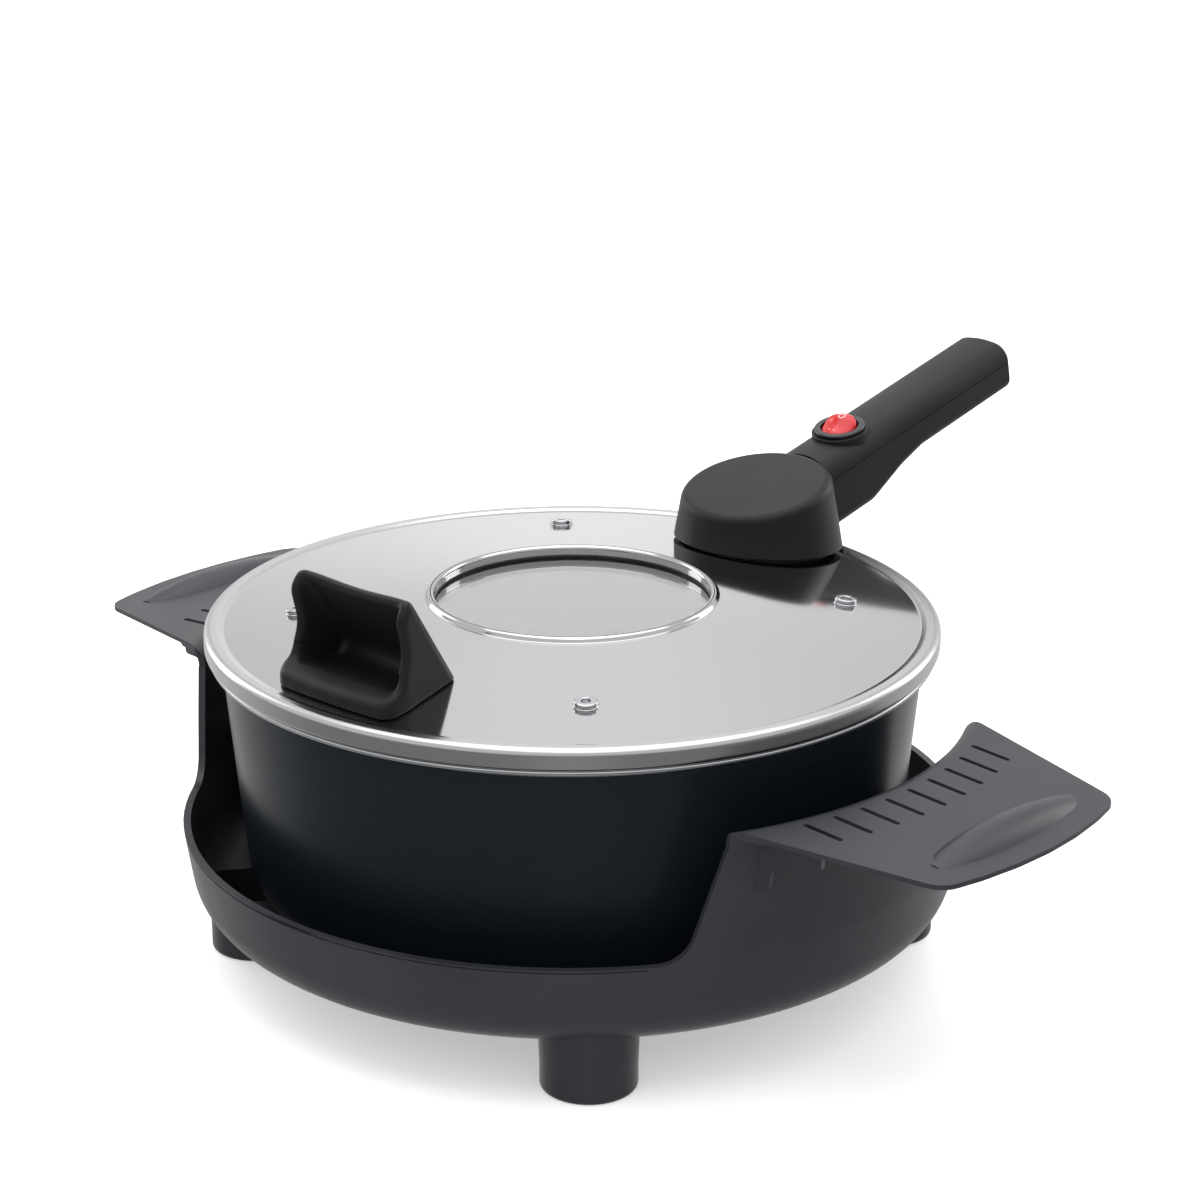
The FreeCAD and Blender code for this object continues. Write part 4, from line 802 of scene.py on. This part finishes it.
def gripField(x, y, z):
    g = gripSizes
    out = -y
    z = z - seats["lidSeat"]
    body = polygonField(roundedPath(gripSide, True, 10.0, 0.0), out, z)
    body = softMax(body, polygonField(gripPlan(), x, out), g["edgeBlend"])
    # the top edge dips in an arc
    dipRadius = (g["backHalf"] ** 2 + g["dip"] ** 2) / (2 * g["dip"])
    dip = dipRadius - np.hypot(x, z - (g["top"] - g["dip"] + dipRadius))
    body = softMax(body, dip, g["dipBlend"])
    # the hollow keeps one wall thickness inside the plan
    hollow = polygonField(roundedPath(gripHollow, True, 10.0, 0.0), out, z)
    innerHalf = np.interp(out, [g["back"], g["widest"]], [g["backHalf"], g["half"]]) - g["wall"]
    hollow = softMax(hollow, np.abs(x) - innerHalf, g["hollowBlend"])
    body = softMax(body, -hollow, np.where(z < g["lipTop"], g["lipBlend"], g["wingBlend"]))
    cover = coverHeight(np.hypot(x, y)) + g["footGap"] - z
    return softMax(body, cover, g["footBlend"])


def makeGrip():
    low = (-32, -140.5, seats["lidSeat"] + 7)
    high = (32, -87.5, seats["lidSeat"] + 56)
    grip = sculpted("gripScoop", gripField, low, high, gripSizes["step"], finishes["handle"])
    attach(grip, "lid")
    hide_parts("finger_grip")
    print("finger grip made, faces", len(grip.data.polygons))


makeGrip()


# Switch: rocker with its two marks, and the bezel round it

rockerSizes = {
    "place": 27.6, "pivot": 9.2, "radius": 7.9, "tilt": 9.0, "skirt": 2.4, "crest": 6.3,
    "drop": 1.8, "crestPlace": 3.3, "crestSpread": 3.7, "sideDrop": 0.03, "topBlend": 1.5,
    "footBlend": 0.7, "step": 0.34}
markSizes = {
    "ringPlace": 3.5, "ringInner": 1.15, "ringOuter": 1.72, "ringEdge": 0.06, "barPlace": -5.0,
    "barHalf": (1.7, 0.27), "barEdge": 0.05, "rise": 0.05, "sink": -0.1, "ringFacets": 48,
    "barFacets": 32}
bezelSizes = {
    "base": 10.6, "gap": 0.05, "thickness": 1.8, "opening": 8.4, "throat": 8.8, "foot": 10.5,
    "footHeight": 0.45, "outer": 11.3}


def rockerTop(x, y):
    r = rockerSizes
    away = (y - r["crestPlace"]) / r["crestSpread"]
    return r["crest"] - r["drop"] * (1 - np.exp(-away ** 2)) - r["sideDrop"] * x ** 2


def rockerField(x, y, z):
    r = rockerSizes
    body = softMax(np.hypot(x, y) - r["radius"], z - rockerTop(x, y), r["topBlend"])
    return softMax(body, -r["skirt"] - z, r["footBlend"])


def bandThrough(work, loops, closed):
    # a skin of mark material through loops of points, which closes on itself or stays open
    rings = [[work.verts.new(point) for point in loop] for loop in loops]
    count = len(rings[0])
    for one, two in list(zip(rings[:-1], rings[1:])) + ([(rings[-1], rings[0])] if closed else []):
        for k in range(count):
            face = work.faces.new((one[k], one[(k + 1) % count], two[(k + 1) % count], two[k]))
            face.material_index = 1
            face.smooth = closed
    return rings


def onTop(x, y, rise):
    return (x * mm, y * mm, (float(rockerTop(x, y)) + rise) * mm)


def addMarks(work):
    # a raised ring on the crest and a raised bar at the other end
    m = markSizes
    ring = []
    for radius, up in ((m["ringInner"], m["sink"]), (m["ringInner"] + m["ringEdge"], m["rise"]),
                       (m["ringOuter"] - m["ringEdge"], m["rise"]), (m["ringOuter"], m["sink"])):
        turns = [fullTurn * k / m["ringFacets"] for k in range(m["ringFacets"])]
        ring.append([
            onTop(radius * math.cos(t), m["ringPlace"] + radius * math.sin(t), up) for t in turns])
    bandThrough(work, ring, True)
    wide, deep = m["barHalf"]
    bar = []
    for reach, up in ((deep, m["sink"]), (deep - m["barEdge"], m["rise"])):
        outline = []
        for k in range(m["barFacets"]):
            turn = fullTurn * (k + 0.5) / m["barFacets"]
            end = math.copysign(wide - deep, math.cos(turn))
            outline.append(
                onTop(end + reach * math.cos(turn), m["barPlace"] + reach * math.sin(turn), up))
        bar.append(outline)
    rings = bandThrough(work, bar, False)
    for loop in (rings[1], rings[0][::-1]):
        work.faces.new(loop).material_index = 1


def makeRocker():
    r = rockerSizes
    low = (-9, -9, -4)
    high = (9, 9, 8)
    rocker = sculpted("rockerButton", rockerField, low, high, r["step"], finishes["red"])
    rocker.data.materials.append(finishes["mark"])
    work = bmesh.new()
    work.from_mesh(rocker.data)
    addMarks(work)
    bmesh.ops.recalc_face_normals(work, faces=work.faces)
    work.to_mesh(rocker.data)
    work.free()
    tip = Matrix.Rotation(math.radians(r["tilt"]), 4, "X")
    rocker.data.transform(Matrix.Translation((0, r["place"] * mm, r["pivot"] * mm)) @ tip)
    toHandle(rocker)
    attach(rocker, "rocker")
    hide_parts("switch_rocker")


def makeBezel():
    b = bezelSizes
    low = b["base"] + b["gap"]
    high = b["base"] + b["thickness"]
    section = roundedPath([
        (b["throat"], low), (b["foot"], low), (b["foot"], low + b["footHeight"]),
        (b["outer"], low + 0.5, 0.15), (b["outer"], high, 0.75), (b["opening"], high, 0.5),
        (b["opening"], high - 1.0, 0.2)], True, 12.0, 0.05)
    bezel = turned("switchSurround", section, finishes["bezel"], True, 128)
    bezel.data.transform(Matrix.Translation((0, rockerSizes["place"] * mm, 0)))
    toHandle(bezel)
    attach(bezel, "lid")
    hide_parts("switch_bezel")


makeRocker()
makeBezel()
print("switch made")


# Studs and their washers, one of each copied round the lid

studSizes = {
    "circle": 111.5, "count": 4, "first": 45.0, "head": 4.6, "seat": 0.6, "height": 1.7,
    "edge": 0.6, "hex": 3.6, "hexDepth": 1.2, "hexBevel": 0.25, "mouth": 0.45, "foot": 0.2,
    "shank": 2.0, "length": 23.9, "washer": 5.0, "washerThickness": 0.6, "washerBevel": 0.3,
    "washerDrop": 0.25, "washerGap": 0.1, "washerRise": 0.02, "bevel": 0.12, "sharpAbove": 35.0}


def hexLoop(across, z, count=48):
    loop = []
    for k in range(count):
        turn = fullTurn * k / count
        folded = (turn + math.pi / 6) % (math.pi / 3) - math.pi / 6
        radius = across / 2 / math.cos(folded)
        loop.append((radius * math.cos(turn), radius * math.sin(turn), z))
    return loop


def roundLoop(radius, z, count=48):
    turns = [fullTurn * k / count for k in range(count)]
    return [(radius * math.cos(t), radius * math.sin(t), z) for t in turns]


def loopMesh(name, loops, finish, closed=False):
    # rings of points joined into a skin, with both ends filled unless it closes on itself
    work = bmesh.new()
    rings = [[work.verts.new(Vector(point) * mm) for point in loop] for loop in loops]
    count = len(rings[0])
    pairs = list(zip(rings[:-1], rings[1:])) + ([(rings[-1], rings[0])] if closed else [])
    for one, two in pairs:
        for k in range(count):
            work.faces.new((one[k], one[(k + 1) % count], two[(k + 1) % count], two[k]))
    if not closed:
        work.faces.new(rings[0][::-1])
        work.faces.new(rings[-1])
    bmesh.ops.recalc_face_normals(work, faces=work.faces)
    mesh = bpy.data.meshes.new(name)
    work.to_mesh(mesh)
    work.free()
    mesh.materials.append(finish)
    return mesh


def onCover(mesh, radius):
    # moved out to the radius and tipped to stand square on the cone
    slope = Matrix.Rotation(math.radians(coverSizes["slope"]), 4, "Y")
    place = Matrix.Translation((radius * mm, 0, (seats["lidSeat"] + coverHeight(radius)) * mm))
    mesh.transform(place @ slope)
    return mesh


def roundTheLid(name, mesh, finish, body, node):
    # one copy for each stud, with small bevels
    s = studSizes
    piece = builtBy(ringTree, name, mesh, {
        "Count": s["count"], "First Angle": math.radians(s["first"]),
        "Step Angle": fullTurn / s["count"], "Finish": finish})
    bevelled(piece, s["bevel"], s["sharpAbove"], 2)
    applyModifiers(piece)
    for polygon in piece.data.polygons:
        polygon.use_smooth = True
    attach(piece, body)
    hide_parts(node)


def makeStuds():
    s = studSizes
    top = s["seat"] + s["height"]
    edge = s["edge"]
    loops = [hexLoop(s["hex"], top - s["hexDepth"]), hexLoop(s["hex"], top - s["hexBevel"]),
             hexLoop(s["hex"] + s["mouth"], top), roundLoop(s["head"] - edge, top)]
    for k in range(1, 5):
        turn = math.pi / 2 * k / 4
        loops.append(roundLoop(s["head"] - edge + edge * math.sin(turn),
                               top - edge + edge * math.cos(turn)))
    loops += [roundLoop(s["head"], s["seat"] + s["foot"]),
              roundLoop(s["head"] - s["foot"], s["seat"]),
              roundLoop(s["shank"], s["seat"]), roundLoop(s["shank"], -s["length"])]
    stud = onCover(loopMesh("studHead", loops, finishes["stud"]), s["circle"])
    roundTheLid("studHeads", stud, finishes["stud"], "lid", "lid_studs")
    inner = s["shank"] + s["washerGap"]
    outer = s["washer"]
    low = s["washerRise"]
    thick = s["washerThickness"]
    loops = [roundLoop(inner, low), roundLoop(inner, thick),
             roundLoop(outer - s["washerBevel"], thick),
             roundLoop(outer, thick - s["washerDrop"]), roundLoop(outer, low)]
    washer = onCover(loopMesh("studWasher", loops, finishes["stud"], True), s["circle"])
    roundTheLid("studRings", washer, finishes["stud"], "lid", "stud_washers")


makeStuds()
print("studs and washers made")


# Smoothed copies of the moulded pieces: name, node, finish, slot, body and bevel in millimetres

mouldings = [
    ("standMoulding", "stand_frame", "stand", "stand_plastic", "stand", 0.8),
    ("headShell", "head_housing", "handle", "handle_plastic", "lid", 0.4),
    ("headFoot", "head_base", "base", "base_plastic", "lid", 0.3),
    ("handleTopShell", "handle_upper", "handle", "handle_plastic", "lid", 0.25),
    ("handleUnderShell", "handle_lower", "handle", "handle_plastic", "lid", 0.25),
]
for name, node, finish, slotName, body, width in mouldings:
    piece = softened(name, node, finishes[finish], width)
    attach(piece, body)
    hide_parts(node)
    print(name, "made, triangles", sum(len(p.vertices) - 2 for p in piece.data.polygons))


# Stage, light and camera

stageSizes = {"rings": (0.6, 1.5, 3.0, 7.0, 16.0), "facets": 96, "glow": (0.42, 0.85),
              "glowFrom": 0.5, "glowFull": 3.0}
cameraPlace = {"lens": 96.46, "sensor": 36.0, "location": (0.8349, -0.9105, 0.5787),
               "target": (0.0083, 0.0075, 0.1501)}
# Each lamp: place, width and length in metres, watts, and whether reflections show it
lampTarget = (0, 0, 0.12)
lamps = {
    "overhead": ((0.0, 0.1, 2.0), (2.6, 2.6), 34, True),
    "leftBox": ((-2.0, -0.1, 0.8), (0.8, 1.5), 9, True),
    "rightBox": ((0.45, 1.95, 0.8), (0.8, 1.5), 9, True),
    "frontFill": ((0.9, -1.5, 1.4), (1.6, 1.2), 2, False),
}
# Strength of the white studio: front and back of the object, to its sides, and overhead
worldTones = {
    "brightSide": (-0.67, 0.72, 0.18), "front": 0.4, "back": 1.2, "turnsFrom": -0.25,
    "turnsTo": 0.85,
    "sideways": (0.743, 0.669, 0.0), "sides": 0.7, "sidesFrom": 0.02, "sidesTo": 0.3,
    "above": 0.9, "aboveFrom": 0.02, "aboveTo": 0.28, "white": (0.985, 0.99, 1.0, 1)}


def makeStage():
    # a round pale floor, wide enough that its edge is far behind the object
    count = stageSizes["facets"]
    mesh = bpy.data.meshes.new("floor")
    work = bmesh.new()
    middle = work.verts.new((0, 0, 0))
    loops = []
    for radius in stageSizes["rings"]:
        loops.append([work.verts.new(point) for point in roundLoop(radius, 0, count)])
    for k in range(count):
        work.faces.new((middle, loops[0][k], loops[0][(k + 1) % count]))
    for one, two in zip(loops[:-1], loops[1:]):
        for k in range(count):
            work.faces.new((one[k], two[k], two[(k + 1) % count], one[(k + 1) % count]))
    work.to_mesh(mesh)
    work.free()
    floor = addObject("floor", mesh)
    material, shader = newFinish(
        "paleFloor", (0.9, 0.9, 0.9), 0.7, Specular_IOR_Level=0.1, Emission_Color=(1, 1, 1, 1))
    links = material.node_tree.links
    # the far floor glows a little more, so that it stays white away from the lamps
    near, far = stageSizes["glow"]
    distance = fromAxis(material)
    glow = spread(material, distance, near, far, stageSizes["glowFrom"], stageSizes["glowFull"])
    links.new(glow, shader.inputs["Emission Strength"])
    cloud = noiseOn(material, coords(material), 1.5, 2.0)
    paler = tint(material, spread(material, cloud, 0, 1), (0.89, 0.89, 0.89), (0.91, 0.91, 0.91))
    links.new(paler, shader.inputs["Base Color"])
    mesh.materials.append(material)
    # kept out of reflections, so that the front faces stay dark as in the photograph
    floor.visible_glossy = False


def aimAt(holder, target):
    facing = Vector(target) - Vector(holder.location)
    holder.rotation_euler = facing.to_track_quat("-Z", "Y").to_euler()


def makeLight(name, place, size, power, mirrored):
    lamp = bpy.data.lights.new(name, "AREA")
    lamp.shape = "RECTANGLE"
    lamp.size, lamp.size_y = size
    lamp.energy = power
    holder = addObject(name, lamp)
    holder.location = place
    holder.visible_glossy = mirrored
    aimAt(holder, lampTarget)


def makeCamera():
    data = bpy.data.cameras.new("camera")
    data.lens = cameraPlace["lens"]
    data.sensor_width = cameraPlace["sensor"]
    holder = addObject("camera", data)
    holder.location = cameraPlace["location"]
    aimAt(holder, cameraPlace["target"])
    bpy.context.scene.camera = holder


def makeWorld():
    # a white studio: brightest behind the object, dimmer at the sides and on the camera's side
    w = worldTones
    world = bpy.data.worlds.new("studio")
    bpy.context.scene.world = world
    world.use_nodes = True
    nodes = world.node_tree.nodes
    links = world.node_tree.links
    source = nodes.new("ShaderNodeTexCoord")

    def combined(operation, first, second):
        node = nodes.new("ShaderNodeMath")
        node.operation = operation
        links.new(first, node.inputs[0])
        links.new(second, node.inputs[1])
        return node.outputs["Value"]

    def along(direction, fromMin, fromMax, toMin, toMax, folded=False):
        # a tone that changes with how far the sky's direction lies along the given one
        dot = nodes.new("ShaderNodeVectorMath")
        dot.operation = "DOT_PRODUCT"
        dot.inputs[1].default_value = direction
        links.new(source.outputs["Generated"], dot.inputs[0])
        value = dot.outputs["Value"]
        if folded:
            fold = nodes.new("ShaderNodeMath")
            fold.operation = "ABSOLUTE"
            links.new(value, fold.inputs[0])
            value = fold.outputs["Value"]
        tone = nodes.new("ShaderNodeMapRange")
        tone.interpolation_type = "SMOOTHSTEP"
        tone.inputs["From Min"].default_value = fromMin
        tone.inputs["From Max"].default_value = fromMax
        tone.inputs["To Min"].default_value = toMin
        tone.inputs["To Max"].default_value = toMax
        links.new(value, tone.inputs["Value"])
        return tone.outputs["Result"]

    level = combined(
        "MULTIPLY", along(w["brightSide"], w["turnsFrom"], w["turnsTo"], w["front"], w["back"]),
        along(w["sideways"], w["sidesFrom"], w["sidesTo"], 1.0, w["sides"], True))
    # bright overhead all round, so that the cover looks like steel from every side
    above = along((0, 0, 1), w["aboveFrom"], w["aboveTo"], 0, w["above"])
    links.new(combined("MAXIMUM", level, above), nodes["Background"].inputs["Strength"])
    nodes["Background"].inputs["Color"].default_value = w["white"]


makeStage()
makeWorld()
for name, (place, size, power, mirrored) in lamps.items():
    makeLight(name, place, size, power, mirrored)
makeCamera()
bpy.context.scene.view_settings.view_transform = "Standard"
print("stage made")

bpy.context.view_layer.update()
